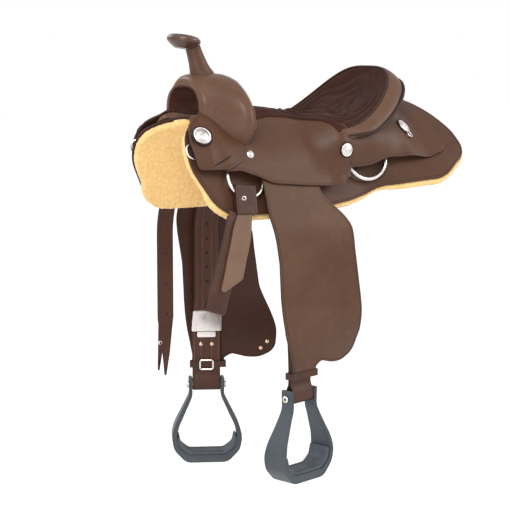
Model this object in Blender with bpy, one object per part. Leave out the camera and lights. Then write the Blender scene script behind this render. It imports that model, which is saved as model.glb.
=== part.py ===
"""Western stock saddle with hanging fenders and stirrups, in metres, +Z up.

The horse would face -X. The rider's left, or near, side is -Y and the right, or off, side is +Y.
The origin lies on the centre line, just under the seat, where the horse's back carries the tree.

Everything that lies on the horse follows one side form. A place on it is given by x along the
saddle, by s down the side from the centre line, and by h out from the form.
"""
import bmesh
import bpy
import numpy as np
from math import atan2, cos, pi, radians, sin, sqrt, tan
from mathutils import Matrix, Vector

# Clearances
GAP = 0.0003
LAYER_GAP = 0.0006
SLIDE_GAP = 0.0008

# Side form: height of the ridge, roll radius and slope, at the front, in the middle and behind
RIDGE_HEIGHTS = (0.048, 0.028, 0.057)
ROLL_RADII = (0.130, 0.150, 0.290)
SIDE_SLOPES = (74.0, 72.0, 60.0)
RIDGE_SLOPE = 15.0
FORM_FRONT = -0.190
FORM_FRONT_RUN = 0.110
FORM_REAR = 0.090
FORM_REAR_RUN = 0.240

# Layers, from the horse outwards
FLEECE_THICK = 0.0150
FLEECE_GAP = 0.0009
SKIRT_THICK = 0.0045
BAR_THICK = 0.0170
JOCKEY_THICK = 0.0045
JOCKEY_RISE_FRONT = -0.290
JOCKEY_RISE_REAR = 0.255
JOCKEY_RISE_RUN = 0.060
FRONT_LIFT = 0.0075
POINT_RAISE = 0.033
POINT_RAISE_START = -0.052
POINT_RAISE_RUN = 0.086
POINT_RAISE_REAR = 0.235
POINT_RAISE_TOP = 0.020
POINT_RAISE_LOW = 0.165

# Skirts
SKIRT_FRONT = -0.304
SKIRT_REAR = 0.343
SKIRT_DROP = 0.225
SKIRT_WAIST_DROP = 0.192
SKIRT_REAR_DROP = 0.229
SKIRT_TOP = 0.014
SKIRT_CHANNEL = 0.040
FLEECE_PROUD = 0.005

# Lines where the layers' meshes bend, shared so that each layer keeps clear of the next
FORM_X = (-0.288, -0.276, -0.264, -0.252, -0.240, -0.228, -0.214, -0.200, -0.186, 0.090, 0.118, 0.146, 0.174, 0.202,
          0.216, 0.230, 0.244, 0.258, 0.272, 0.290, 0.320)
RAISE_X = (-0.052, -0.035, -0.018, -0.001, 0.016, 0.034, 0.052, 0.070, 0.104, 0.132)
SKIRT_X = FORM_X[:14] + FORM_X[15:]
FORM_S = (0.030, 0.060, 0.090, 0.120, 0.150, 0.190)
FINE_S = (0.018, 0.036, 0.054, 0.072, 0.090, 0.108, 0.126, 0.144, 0.162)
HANG_X = (-0.116, -0.086, -0.056, -0.026, 0.004, 0.034)
HANG_T = (0.150, 0.190, 0.220, 0.245, 0.257, 0.269, 0.281, 0.293, 0.330, 0.370, 0.405, 0.418, 0.431, 0.444, 0.457,
          0.470, 0.483, 0.496, 0.509, 0.522, 0.535, 0.548, 0.561, 0.574)

# Tree
BAR_FRONT = -0.268
BAR_REAR = 0.232
BAR_TOP_EDGE = 0.030
BAR_LOW_EDGE = 0.134
BAR_RING_EDGE = 0.097
WINDOW_FRONT = -0.135
WINDOW_REAR = -0.037
WINDOW_TOP = 0.088
RAIL_TOP = 0.1115
RAIL_LOW = 0.1165
RAIL_IN = 0.0222
RAIL_OUT = 0.0257
FORK_STATIONS = ((-0.247, 0.47, 0.010), (-0.242, 0.51, 0.003), (-0.222, 0.68, 0.0),
                 (-0.207, 0.84, 0.0), (-0.192, 0.97, 0.0), (-0.178, 1.00, 0.0), (-0.166, 0.98, 0.005),
                 (-0.161, 0.93, 0.014))
SWELL_SECTION = ((0.0, 0.134), (0.030, 0.1325), (0.058, 0.127), (0.082, 0.118), (0.103, 0.104), (0.120, 0.088),
                 (0.133, 0.070), (0.140, 0.050), (0.141, 0.032), (0.133, 0.014), (0.118, -0.004), (0.108, -0.030))
SWELL_LIP = 0.0095
GULLET_SECTION = ((0.0, 0.108), (0.012, 0.1077), (0.024, 0.1058), (0.034, 0.102), (0.042, 0.0955),
                  (0.048, 0.0875), (0.0515, 0.078), (0.053, 0.067), (0.054, 0.052), (0.054, 0.032), (0.054, 0.005),
                  (0.054, -0.030))
COVER_THICK = 0.0035
LINING_THICK = 0.0025

# Horn
HORN_FOOT = (-0.2065, 0.0, 0.134)
HORN_LEAN = 20.0
HORN_POST_RADIUS = 0.0100
HORN_NECK_RADIUS = 0.0142
HORN_FLARE_RADIUS = 0.0290
HORN_RISE = 0.060
CAP_CENTRE = (-0.2455, 0.0, 0.2015)
CAP_RADIUS = 0.0330
CAP_CROWN = 0.0085
CAP_DEPTH = 0.0125
CAP_TILT = 10.0

# Seat and cantle
SEAT_ROWS = ((-0.152, 0.076, 0.0655), (-0.127, 0.071, 0.0655), (-0.088, 0.064, 0.0645), (-0.045, 0.068, 0.0600),
             (-0.020, 0.079, 0.0565), (-0.005, 0.090, 0.0545), (0.008, 0.106, 0.0525), (0.018, 0.128, 0.0515))
CREST_ROWS = ((90, 0.0510), (85, 0.0500), (80, 0.0495), (70, 0.0510), (60, 0.0580), (50, 0.0690),
              (40, 0.0840), (30, 0.1010), (20, 0.1190), (12, 0.1310), (5, 0.1405))
PAD_THICK = 0.014
PAD_EDGE = 0.0045
SEAT_POWER = 2.4
GROUND_SEAT_THICK = 0.006
GROUND_SEAT_HALF_WIDTH = 0.050
CREST_X = 0.024
CREST_REACH = 0.194
CREST_HALF_WIDTH = 0.148
CREST_FOOT = 0.020
CREST_HEIGHT = 0.143
CREST_POWER = 1.9
CREST_SQUARE = 0.6
RIM_X = 0.054
RIM_REACH = 0.1975
RIM_HALF_WIDTH = 0.168
RIM_FOOT = 0.0035
RIM_HEIGHT = 0.1235
RIM_POWER = 1.59
RIM_TAPER = 72.0
ROLL_CROWN = 0.004
ROLL_EDGE = 0.007
CANTLE_WALL = 0.005
BINDING_RADIUS = 0.0032

# Stirrup leathers and fenders
LEATHER_X = -0.086
SWING_OFFSET = 0.0095
LEATHER_WIDTH = 0.060
LEATHER_THICK = 0.0088
FENDER_THICK = 0.0042
FENDER_BEND_START = 0.245
FENDER_BEND_RADIUS = 0.150
HANGER_S = 0.114
HANGER_ROOM = 0.0137
HOLE_PITCH = 0.038
NEAR_HOLE = 0
OFF_HOLE = 1
BOLT_DROP = 0.588
SLEEVE_RADIUS = 0.0078
BOLT_RADIUS = 0.0040
BOLT_HEAD_RADIUS = 0.0070
NEAR_YAW = 12.0
OFF_YAW = 30.0
HANG_SLACK = 0.0014
TWIST_TOP = -0.330
TWIST_END = -0.455

# Stirrups
EAR_THICK = 0.0085
EAR_TOP = 0.017
STIRRUP_WALL = 0.0095
STIRRUP_HALF_WIDTH = 0.0755
STIRRUP_HEIGHT = 0.168
EAR_DEPTH = 0.026
TREAD_DEPTH = 0.052
TREAD_PAD_THICK = 0.006

# Rigging
RING_X = -0.190
RING_S = 0.152
RING_RADIUS = 0.0405
RING_ROD = 0.0032
RING_H = 0.0273
RING_TIP = 4.0
LATIGO_X = -0.196
LATIGO_LEAN = 20.0
LATIGO_END_LEAN = 12.0
WRAP_END = 0.224
STRAP_THICK = 0.0036
RIG_STRAP_WIDTH = 0.045
LATIGO_WIDTH = 0.044
DEE_X = 0.1115
DEE_HALF_WIDTH = 0.0450
DEE_S = 0.143
DEE_DEPTH = 0.040
DEE_ROD = 0.0032
BREAST_X = -0.292
BREAST_S = 0.112
BREAST_RADIUS = 0.0150
BREAST_ROD = 0.0020

# Conchos: x and s of each
FRONT_CONCHO = (-0.272, 0.090)
SEAT_CONCHO = (0.037, 0.127)
REAR_CONCHO = (0.216, 0.110)

JOCKEY_LINES = (tuple(sorted(FORM_X + RAISE_X)), FINE_S)
HANG_LINES = (HANG_X, HANG_T)
SIDES = {"near": -1, "off": 1}
YAW = {"near": NEAR_YAW, "off": -OFF_YAW}
DROP = {"near": NEAR_HOLE * HOLE_PITCH, "off": OFF_HOLE * HOLE_PITCH}

FLEECE_OUT = FLEECE_THICK
SKIRT_IN = FLEECE_OUT + FLEECE_GAP
SKIRT_OUT = SKIRT_IN + SKIRT_THICK
BAR_IN = SKIRT_OUT + LAYER_GAP
COVER_LOW = BAR_IN
COVER_HIGH = BAR_IN + BAR_THICK + LAYER_GAP
FENDER_OUT = COVER_HIGH - 0.0012
FENDER_IN = FENDER_OUT - FENDER_THICK
LEATHER_OUT = FENDER_IN - GAP
LEATHER_IN = LEATHER_OUT - LEATHER_THICK


# Scene and materials
def clear_scene():
    for old in list(bpy.data.objects):
        bpy.data.objects.remove(old, do_unlink=True)


def collection(name):
    made = bpy.data.collections.new(name)
    bpy.context.scene.collection.children.link(made)
    return made


def material(name, colour, roughness, metallic=0.0):
    made = bpy.data.materials.new(name)
    made.use_nodes = True
    shader = made.node_tree.nodes["Principled BSDF"]
    shader.inputs["Base Color"].default_value = (*colour, 1.0)
    shader.inputs["Roughness"].default_value = roughness
    shader.inputs["Metallic"].default_value = metallic
    made.diffuse_color = (*colour, 1.0)
    return made


clear_scene()
PARTS = collection("western_saddle")
CUTTERS = collection("cutters")
LEATHER = material("saddle_leather", (0.162, 0.091, 0.062), 0.48)
DARK_LEATHER = material("dark_leather", (0.060, 0.030, 0.022), 0.55)
STRAP_LEATHER = material("strap_leather", (0.200, 0.130, 0.098), 0.50)
SUEDE = material("seat_suede", (0.060, 0.023, 0.018), 0.92)
FLEECE = material("fleece", (0.93, 0.68, 0.27), 0.95)
TREE = material("tree_wood", (0.52, 0.38, 0.22), 0.70)
COMPOSITE = material("stirrup_composite", (0.100, 0.120, 0.140), 0.45)
RUBBER = material("tread_rubber", (0.060, 0.068, 0.078), 0.70)
STEEL = material("plated_steel", (0.78, 0.76, 0.74), 0.22, 1.0)


# Side form
def ease(t):
    t = min(max(t, 0.0), 1.0)
    return t * t * (3.0 - 2.0 * t)


def station(x, values):
    front, middle, rear = values
    at_front = ease((FORM_FRONT - x) / FORM_FRONT_RUN)
    at_rear = ease((x - FORM_REAR) / FORM_REAR_RUN)
    return middle + (front - middle) * at_front + (rear - middle) * at_rear


def form_point(x, s, h, side):
    """Point of the side form: an arc of the roll radius from the ridge, then a straight slope."""
    ridge, roll = station(x, RIDGE_HEIGHTS), station(x, ROLL_RADII)
    start, slope = radians(RIDGE_SLOPE), radians(station(x, SIDE_SLOPES))
    arc = roll * (slope - start)
    angle = start + min(s, arc) / roll
    straight = max(s - arc, 0.0)
    y = roll * (sin(angle) - sin(start)) + straight * cos(slope) + h * sin(angle)
    z = ridge - roll * (cos(start) - cos(angle)) - straight * sin(slope) + h * cos(angle)
    return Vector((x, side * y, z))


def bar_profile(x):
    """1 over the body of a bar and 0 beyond its tips, eased at both ends."""
    front = ease((x - JOCKEY_RISE_FRONT) / JOCKEY_RISE_RUN)
    rear = ease((JOCKEY_RISE_REAR - x) / JOCKEY_RISE_RUN)
    return front * rear


def cover_height(x):
    """Underside of the jockeys: it lies on the bars, and on the skirt beyond their tips."""
    return COVER_LOW + (COVER_HIGH - COVER_LOW) * bar_profile(x)


def bar_height(x):
    return cover_height(x) - LAYER_GAP


def point_raise(x, s):
    """Lift of the jockeys over the points of the cantle, which stand on the bars."""
    along = ease((x - POINT_RAISE_START) / POINT_RAISE_RUN) ** 1.6 * ease((POINT_RAISE_REAR - x) / 0.130)
    across = ease((s - POINT_RAISE_TOP) / 0.075) * ease((POINT_RAISE_LOW - s) / 0.060)
    return POINT_RAISE * along * across


def rear_jockey_height(x, s):
    return cover_height(x) + point_raise(x, s)


def seat_jockey_height(x, s):
    return cover_height(x) + point_raise(x, s) + (JOCKEY_THICK + LAYER_GAP) * ease(x / 0.034)


def front_jockey_height(x, s):
    """The front jockey lies on the breast ring in front and on the seat jockey behind."""
    return max(cover_height(x), COVER_LOW + FRONT_LIFT) + (JOCKEY_THICK + LAYER_GAP) * ease((x + 0.300) / 0.044)


def fender_point(x, t, w, side):
    """Point on the hang of the fender: down the side's slope, round a bend, then plumb.

    t runs down the hang and w outwards. Below the bend each level is turned about the middle of
    the stirrup leather, as the rider's weight turns it.
    """
    slope = radians(SIDE_SLOPES[1])
    start, roll = radians(RIDGE_SLOPE), ROLL_RADII[1]
    arc = roll * (slope - start)
    y0 = roll * (sin(slope) - sin(start))
    z0 = RIDGE_HEIGHTS[1] - roll * (cos(start) - cos(slope))
    run = min(t, FENDER_BEND_START) - arc
    y, z, angle = y0 + run * cos(slope), z0 - run * sin(slope), slope
    bend = min(max(t - FENDER_BEND_START, 0.0) / FENDER_BEND_RADIUS, pi / 2 - slope)
    y += FENDER_BEND_RADIUS * (sin(slope + bend) - sin(slope))
    z -= FENDER_BEND_RADIUS * (cos(slope) - cos(slope + bend))
    angle += bend
    z -= max(t - FENDER_BEND_START - FENDER_BEND_RADIUS * (pi / 2 - slope), 0.0)
    y, z = y + w * sin(angle), z + w * cos(angle)
    return Vector((x, side * y, z))


def hang_centre(side):
    """Where the middle of the stirrup leather hangs, in plan."""
    low = fender_point(LEATHER_X, BOLT_DROP, (LEATHER_IN + LEATHER_OUT) / 2, side)
    return low.x, low.y


def twist(point, name):
    """Turns a point about the hanging leather, more with depth, down to the stirrup's own turn."""
    share = ease((TWIST_TOP - point.z) / (TWIST_TOP - TWIST_END))
    turn = radians(YAW[name]) * share
    cx, cy = hang_centre(SIDES[name])
    dx, dy = point.x - cx, point.y - cy
    return Vector((cx + dx * cos(turn) - dy * sin(turn), cy + dx * sin(turn) + dy * cos(turn), point.z))


# Mesh helpers
def finish(obj, name, mat, smooth=True):
    """Names an object, gives it its material and puts it among the parts."""
    obj.name = name
    obj.data.name = name
    for held in list(obj.users_collection):
        held.objects.unlink(obj)
    PARTS.objects.link(obj)
    obj.data.materials.clear()
    obj.data.materials.append(mat)
    if smooth:
        obj.data.shade_smooth()
        obj.data.set_sharp_from_angle(angle=radians(40))
    return obj


def new_object(bm, name, mat, home=None):
    bmesh.ops.recalc_face_normals(bm, faces=bm.faces)
    mesh = bpy.data.meshes.new(name)
    bm.to_mesh(mesh)
    bm.free()
    obj = bpy.data.objects.new(name, mesh)
    bpy.context.scene.collection.objects.link(obj)
    if home is None:
        return finish(obj, name, mat)
    bpy.context.scene.collection.objects.unlink(obj)
    home.objects.link(obj)
    obj.hide_render = True
    obj.display_type = 'WIRE'
    return obj


def rounded(points):
    """Closed outline from corners (u, v, radius): each corner is an arc tangent to its edges."""
    count = len(points)
    outline = []
    for i, (u, v, radius) in enumerate(points):
        here = Vector((u, v))
        before = Vector(points[i - 1][:2]) - here
        after = Vector(points[(i + 1) % count][:2]) - here
        turn = pi - before.angle(after)
        if turn < 1e-3 or radius <= 0.0:
            outline.append(here)
            continue
        reach = min(radius * tan(turn / 2), 0.49 * before.length, 0.49 * after.length)
        true_radius = reach / tan(turn / 2)
        first, last = here + before.normalized() * reach, here + after.normalized() * reach
        centre = here + (before.normalized() + after.normalized()).normalized() * (true_radius / cos(turn / 2))
        steps = max(1, round(turn / radians(22)))
        a0 = atan2(first.y - centre.y, first.x - centre.x)
        sweep = atan2(last.y - centre.y, last.x - centre.x) - a0
        sweep = (sweep + pi) % (2 * pi) - pi
        for k in range(steps + 1):
            a = a0 + sweep * k / steps
            outline.append(centre + true_radius * Vector((cos(a), sin(a))))
    return outline


def slab(outline, holes=(), lines=((), ()), middle=False):
    """Flat slab of an outline, cut along lines in both directions; it runs from z = 0 to z = 1."""
    bm = bmesh.new()
    curve = bpy.data.curves.new("outline", 'CURVE')
    curve.dimensions = '2D'
    curve.fill_mode = 'BOTH'
    for loop in (outline, *holes):
        spline = curve.splines.new('POLY')
        spline.points.add(len(loop) - 1)
        for point, place in zip(spline.points, loop):
            point.co = (place[0], place[1], 0.0, 1.0)
        spline.use_cyclic_u = True
    holder = bpy.data.objects.new("outline", curve)
    bpy.context.scene.collection.objects.link(holder)
    flat = bpy.data.meshes.new_from_object(holder.evaluated_get(bpy.context.evaluated_depsgraph_get()))
    bm.from_mesh(flat)
    bpy.data.objects.remove(holder, do_unlink=True)
    bpy.data.curves.remove(curve)
    bpy.data.meshes.remove(flat)
    bmesh.ops.remove_doubles(bm, verts=bm.verts, dist=1e-6)
    bmesh.ops.dissolve_limit(bm, angle_limit=radians(1), verts=bm.verts, edges=bm.edges)
    for k, normal in ((0, Vector((1, 0, 0))), (1, Vector((0, 1, 0)))):
        low, high = min(v.co[k] for v in bm.verts) + 0.002, max(v.co[k] for v in bm.verts) - 0.002
        for line in (value for value in lines[k] if low < value < high):
            geom = bm.verts[:] + bm.edges[:] + bm.faces[:]
            bmesh.ops.bisect_plane(bm, geom=geom, dist=1e-6, plane_co=normal * line, plane_no=normal)
    bmesh.ops.remove_doubles(bm, verts=bm.verts, dist=2e-5)
    bmesh.ops.triangulate(bm, faces=bm.faces)
    grown = bmesh.ops.extrude_face_region(bm, geom=bm.faces[:])
    for piece in grown["geom"]:
        if isinstance(piece, bmesh.types.BMVert):
            piece.co.z = 1.0
    if middle:
        geom = bm.verts[:] + bm.edges[:] + bm.faces[:]
        bmesh.ops.bisect_plane(bm, geom=geom, dist=1e-6, plane_co=(0, 0, 0.5), plane_no=(0, 0, 1))
    return bm


def layered(name, mat, outline, inner, outer, place, lines=(SKIRT_X, FORM_S), home=None):
    """Slab laid on a form: inner and outer give the two layers' heights, place maps to the world."""
    bm = slab(outline, (), lines)
    for vert in bm.verts:
        x, s = vert.co.x, vert.co.y
        vert.co = place(x, s, outer(x, s) if vert.co.z > 0.5 else inner(x, s))
    bmesh.ops.triangulate(bm, faces=bm.faces)
    return new_object(bm, name, mat, home)


def loft(name, mat, rings, home=None):
    """Solid through rings of equally many points; each cap joins the first half of its ring to the last."""
    bm = bmesh.new()
    rows = [[bm.verts.new(p) for p in ring] for ring in rings]
    count = len(rows[0])
    for low, high in zip(rows, rows[1:]):
        for k in range(count):
            bm.faces.new((low[k], low[(k + 1) % count], high[(k + 1) % count], high[k]))
    for row in (rows[0], rows[-1]):
        for k in range(count // 2 - 1 + count % 2):
            corners = (row[k], row[k + 1], row[count - 2 - k], row[count - 1 - k])
            bm.faces.new(dict.fromkeys(corners))
    bmesh.ops.triangulate(bm, faces=bm.faces)
    return new_object(bm, name, mat, home)


def apply_modifiers(obj):
    """Replaces the object's mesh with its evaluated one and drops the modifiers."""
    graph = bpy.context.evaluated_depsgraph_get()
    mesh = bpy.data.meshes.new_from_object(obj.evaluated_get(graph))
    obj.modifiers.clear()
    obj.data = mesh
    return obj


def boolean(obj, tool, operation='DIFFERENCE'):
    mod = obj.modifiers.new(operation.lower(), 'BOOLEAN')
    mod.operation = operation
    mod.object = tool
    mod.solver = 'EXACT'
    return obj


def cutter_box(name, low, high, matrix=Matrix()):
    bm = bmesh.new()
    size, centre = Vector(high) - Vector(low), (Vector(high) + Vector(low)) / 2
    bmesh.ops.create_cube(bm, size=1.0)
    bmesh.ops.scale(bm, vec=size, verts=bm.verts)
    bmesh.ops.translate(bm, vec=centre, verts=bm.verts)
    bmesh.ops.transform(bm, matrix=matrix, verts=bm.verts)
    return new_object(bm, name, None, CUTTERS)


def rod_mesh(name, mat, points, radius, sides=2, cyclic=False):
    """Round rod along points: a bevelled curve turned into one closed mesh."""
    curve = bpy.data.curves.new(name, 'CURVE')
    curve.dimensions = '3D'
    curve.bevel_depth = radius
    curve.bevel_resolution = sides
    curve.use_fill_caps = True
    spline = curve.splines.new('POLY')
    spline.points.add(len(points) - 1)
    for point, place in zip(spline.points, points):
        point.co = (*place, 1.0)
    spline.use_cyclic_u = cyclic
    holder = bpy.data.objects.new(name, curve)
    bpy.context.scene.collection.objects.link(holder)
    mesh = bpy.data.meshes.new_from_object(holder.evaluated_get(bpy.context.evaluated_depsgraph_get()))
    bpy.data.objects.remove(holder, do_unlink=True)
    bpy.data.curves.remove(curve)
    bm = bmesh.new()
    bm.from_mesh(mesh)
    bmesh.ops.remove_doubles(bm, verts=bm.verts, dist=1e-6)
    bmesh.ops.triangulate(bm, faces=bm.faces)
    return new_object(bm, name, mat)


def turned(name, mat, profile, matrix, steps=20, home=None):
    """Solid of revolution about local Z from (radius, z) points whose first and last radius is 0."""
    rings = []
    bm = bmesh.new()
    for radius, z in profile[1:-1]:
        rings.append([bm.verts.new((radius * cos(2 * pi * k / steps), radius * sin(2 * pi * k / steps), z))
                      for k in range(steps)])
    top, bottom = bm.verts.new((0, 0, profile[0][1])), bm.verts.new((0, 0, profile[-1][1]))
    for k in range(steps):
        n = (k + 1) % steps
        bm.faces.new((top, rings[0][k], rings[0][n]))
        bm.faces.new((bottom, rings[-1][n], rings[-1][k]))
        for upper, lower in zip(rings, rings[1:]):
            bm.faces.new((upper[k], lower[k], lower[n], upper[n]))
    bmesh.ops.transform(bm, matrix=matrix, verts=bm.verts)
    return new_object(bm, name, mat, home)


def frame_at(point, normal, along=Vector((1, 0, 0))):
    """Matrix whose Z is the normal and whose X lies along the given direction."""
    z = normal.normalized()
    x = (along - along.dot(z) * z).normalized()
    y = z.cross(x)
    matrix = Matrix((x, y, z)).transposed().to_4x4()
    matrix.translation = point
    return matrix


def form_normal(x, s, side):
    return (form_point(x, s, 0.01, side) - form_point(x, s, 0.0, side)).normalized()


def constant(value):
    return lambda x, s: value


def hang_from(point, *names):
    """Puts the origins of moving pieces on the axis that they turn about."""
    for name in names:
        obj = bpy.data.objects[name]
        obj.data.transform(Matrix.Translation(-point))
        obj.location = point


# Skirts, fleece and jockeys
def skirt_outline(grow=0.0):
    front, rear = SKIRT_FRONT - grow, SKIRT_REAR + grow
    low, waist, tail = SKIRT_DROP + grow, SKIRT_WAIST_DROP + grow, SKIRT_REAR_DROP + grow
    return rounded([
        (front + 0.072, SKIRT_TOP, 0.004), (front, 0.085, 0.060), (front, 0.140, 0.080),
        (front + 0.052, low, 0.060), (-0.060, low, 0.120), (0.060, low - 0.014, 0.090),
        (0.140, waist, 0.070), (0.272, tail + 0.006, 0.045), (rear + 0.004, 0.190, 0.050),
        (rear - 0.002, 0.135, 0.060), (rear - 0.042, SKIRT_TOP, 0.004), (0.240, SKIRT_TOP, 0.020),
        (0.205, SKIRT_CHANNEL, 0.020), (-0.200, SKIRT_CHANNEL, 0.020), (-0.218, SKIRT_TOP, 0.010)])


def make_skirts():
    for name, side in SIDES.items():
        def place(x, s, h):
            return form_point(x, s, h, side)
        layered(f"skirt_{name}", LEATHER, skirt_outline(), constant(SKIRT_IN), constant(SKIRT_OUT), place)
        layered(f"fleece_{name}", FLEECE, skirt_outline(FLEECE_PROUD), constant(0.0), constant(FLEECE_OUT), place)


def seat_jockey_outline(grow=0.0):
    return rounded([
        (-0.243 - grow, 0.030 - grow, 0.004), (-0.243 - grow, 0.146 + grow, 0.008),
        (-0.205, 0.143 + grow, 0.040), (-0.172, 0.153 + grow, 0.040), (-0.135, 0.170 + grow, 0.060),
        (-0.060, 0.178 + grow, 0.200), (0.034, 0.184 + grow, 0.022), (0.046 + grow, 0.160, 0.030),
        (0.051 + grow, 0.132, 0.030), (0.052 + grow, 0.094 - grow, 0.008), (0.030, 0.084 - grow, 0.020),
        (0.006, 0.062 - grow, 0.040), (-0.040, 0.036 - grow, 0.060), (-0.130, 0.030 - grow, 0.030)])


def front_jockey_outline():
    return rounded([
        (-0.243, 0.034, 0.010), (-0.290, 0.068, 0.030), (-0.300, 0.100, 0.040), (-0.293, 0.148, 0.012),
        (-0.236, 0.144, 0.010), (-0.206, 0.132, 0.014), (-0.192, 0.112, 0.012), (-0.178, 0.088, 0.010),
        (-0.178, 0.040, 0.006)])


def rear_jockey_outline(grow=0.0):
    return rounded([
        (0.046 - grow, 0.090 - grow, 0.006), (0.046 - grow, 0.149 + grow, 0.006), (0.150, 0.147 + grow, 0.080),
        (0.250, 0.184 + grow, 0.030), (0.296 + grow, 0.182 + grow, 0.022), (0.298 + grow, 0.150, 0.040),
        (0.288 + grow, 0.085, 0.040), (0.262 + grow, 0.016 - grow, 0.006), (0.190, 0.016 - grow, 0.010)])


def bar_outline(grow=0.0):
    return rounded([
        (BAR_FRONT - grow, 0.036 - grow, 0.012), (BAR_FRONT - grow, 0.080, 0.018),
        (-0.244, BAR_RING_EDGE + grow, 0.018), (-0.153, BAR_RING_EDGE + grow, 0.004),
        (-0.150, 0.124 + grow, 0.004), (WINDOW_FRONT, 0.124 + grow, 0.002), (WINDOW_FRONT, WINDOW_TOP, 0.004),
        (WINDOW_REAR, WINDOW_TOP, 0.004), (WINDOW_REAR, BAR_LOW_EDGE + grow, 0.003),
        (0.100, BAR_LOW_EDGE + grow, 0.040), (0.200, 0.126 + grow, 0.030), (BAR_REAR + grow, 0.100, 0.020),
        (BAR_REAR + grow, 0.036 - grow, 0.012), (0.100, BAR_TOP_EDGE - grow, 0.050),
        (-0.150, BAR_TOP_EDGE - grow, 0.050)])


def on_form(side):
    return lambda x, s, h: form_point(x, s, h, side)


def grown_jockey_cutters():
    """Solids of the jockeys and what lies under them, a gap larger, that cut whatever sits on them."""
    cutters = []
    for name, side in SIDES.items():
        cutters.append(layered(
            f"under_seat_jockey_{name}", None, seat_jockey_outline(0.0004), constant(-0.100),
            lambda x, s: seat_jockey_height(x, s) + JOCKEY_THICK + GAP, on_form(side), JOCKEY_LINES, CUTTERS))
        cutters.append(layered(
            f"under_rear_jockey_{name}", None, rear_jockey_outline(0.0015), constant(-0.100),
            lambda x, s: rear_jockey_height(x, s) + JOCKEY_THICK + LAYER_GAP + GAP, on_form(side), JOCKEY_LINES,
            CUTTERS))
    return cutters


def grown_bar_cutters():
    return [layered(f"under_bar_{name}", None, rounded([
        (BAR_FRONT - 0.010, BAR_TOP_EDGE - 0.0004, 0.0), (BAR_FRONT - 0.010, 0.150, 0.0),
        (BAR_REAR + 0.010, 0.150, 0.0), (BAR_REAR + 0.010, BAR_TOP_EDGE - 0.0004, 0.0)]),
        constant(-0.060), lambda x, s: bar_height(x) + LAYER_GAP, on_form(side), (FORM_X, FINE_S), CUTTERS)
        for name, side in SIDES.items()]


def channel_cutter(name, front, rear, height):
    """Space along the centre line, between the bars or between the rear jockeys."""
    return cutter_box(name, (front, -0.060, -0.150), (rear, 0.060, height))


def cleaned(obj):
    """Merges the doubled points and drops the slivers that a cut leaves."""
    bm = bmesh.new()
    bm.from_mesh(obj.data)
    bmesh.ops.remove_doubles(bm, verts=bm.verts, dist=2e-5)
    bmesh.ops.dissolve_degenerate(bm, dist=1e-5, edges=bm.edges)
    bm.to_mesh(obj.data)
    bm.free()
    return obj


def cut(obj, tools):
    for tool in tools:
        boolean(obj, tool)
        apply_modifiers(obj)
        cleaned(obj)
    return obj


# Tree: bars with the hanger rail for the stirrup leather
def make_bars():
    for name, side in SIDES.items():
        bar = layered(f"tree_bar_{name}", TREE, bar_outline(), constant(BAR_IN), lambda x, s: bar_height(x),
                      on_form(side), (FORM_X, FINE_S))
        rail = layered(f"rail_{name}", None, rounded([
            (WINDOW_FRONT - 0.006, RAIL_TOP, 0.0), (WINDOW_FRONT - 0.006, RAIL_LOW, 0.0),
            (WINDOW_REAR + 0.006, RAIL_LOW, 0.0), (WINDOW_REAR + 0.006, RAIL_TOP, 0.0)]),
            constant(RAIL_IN), constant(RAIL_OUT), lambda x, t, w: fender_point(x, t, w, side), ((), ()), CUTTERS)
        boolean(bar, rail, 'UNION')
        apply_modifiers(bar)


# Fork, its leather cover and the lining of the gullet
def moved_section(section, distance):
    """Half section moved along its outward normals."""
    moved = []
    for i, (y, z) in enumerate(section):
        before = section[i - 1] if i else (-section[1][0], section[1][1])
        after = section[i + 1] if i + 1 < len(section) else (2 * y - before[0], 2 * z - before[1])
        along = Vector((after[0] - before[0], after[1] - before[1])).normalized()
        moved.append((y - along.y * distance if i else 0.0, z + along.x * distance))
    return moved


def fork_solid(name, mat, outward, gullet, inset, home=None):
    """Fork along x: the swell's section, narrower in front, closed round the gullet's arch if it has one."""
    middle = (FORK_STATIONS[0][0] + FORK_STATIONS[-1][0]) / 2
    length = FORK_STATIONS[-1][0] - FORK_STATIONS[0][0]
    arch = moved_section(GULLET_SECTION, LINING_THICK + GAP)[::-1]
    rings = []
    for x, width, drop in FORK_STATIONS:
        outer = []
        for y, z in moved_section(SWELL_SECTION, outward - drop):
            floor = np.interp(z, [p[1] for p in arch], [p[0] for p in arch]) + SWELL_LIP + outward
            outer.append((max(y * width, floor) if y > 0.05 else y * width, z))
        place = middle + (x - middle) * (1 - 2 * inset / length)
        ring = [(-y, z) for y, z in outer[:0:-1]] + outer
        if gullet:
            ring += arch + [(-y, z) for y, z in arch[-2::-1]]
        rings.append([Vector((place, y, z)) for y, z in ring])
    return loft(name, mat, rings, home)


def horn_axis():
    lean = radians(HORN_LEAN)
    return Vector((-sin(lean), 0.0, cos(lean)))


def horn_frame():
    return frame_at(Vector(HORN_FOOT), horn_axis())


def cap_frame():
    tilt = radians(CAP_TILT)
    return frame_at(Vector(CAP_CENTRE), Vector((sin(tilt), 0.0, cos(tilt))))


def cap_profile(grow=0.0):
    return [(0.0, CAP_CROWN + grow), (0.018 + grow, CAP_CROWN - 0.0008 + grow), (0.027 + grow, 0.0056 + grow),
            (CAP_RADIUS - 0.0006 + grow, 0.0018 + grow), (CAP_RADIUS + grow, 0.0),
            (CAP_RADIUS - 0.0012 + grow, -0.0030 - grow), (0.026 + grow, -0.0085 - grow),
            (0.018 + grow, -CAP_DEPTH - grow), (0.0, -CAP_DEPTH - grow)]


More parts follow.
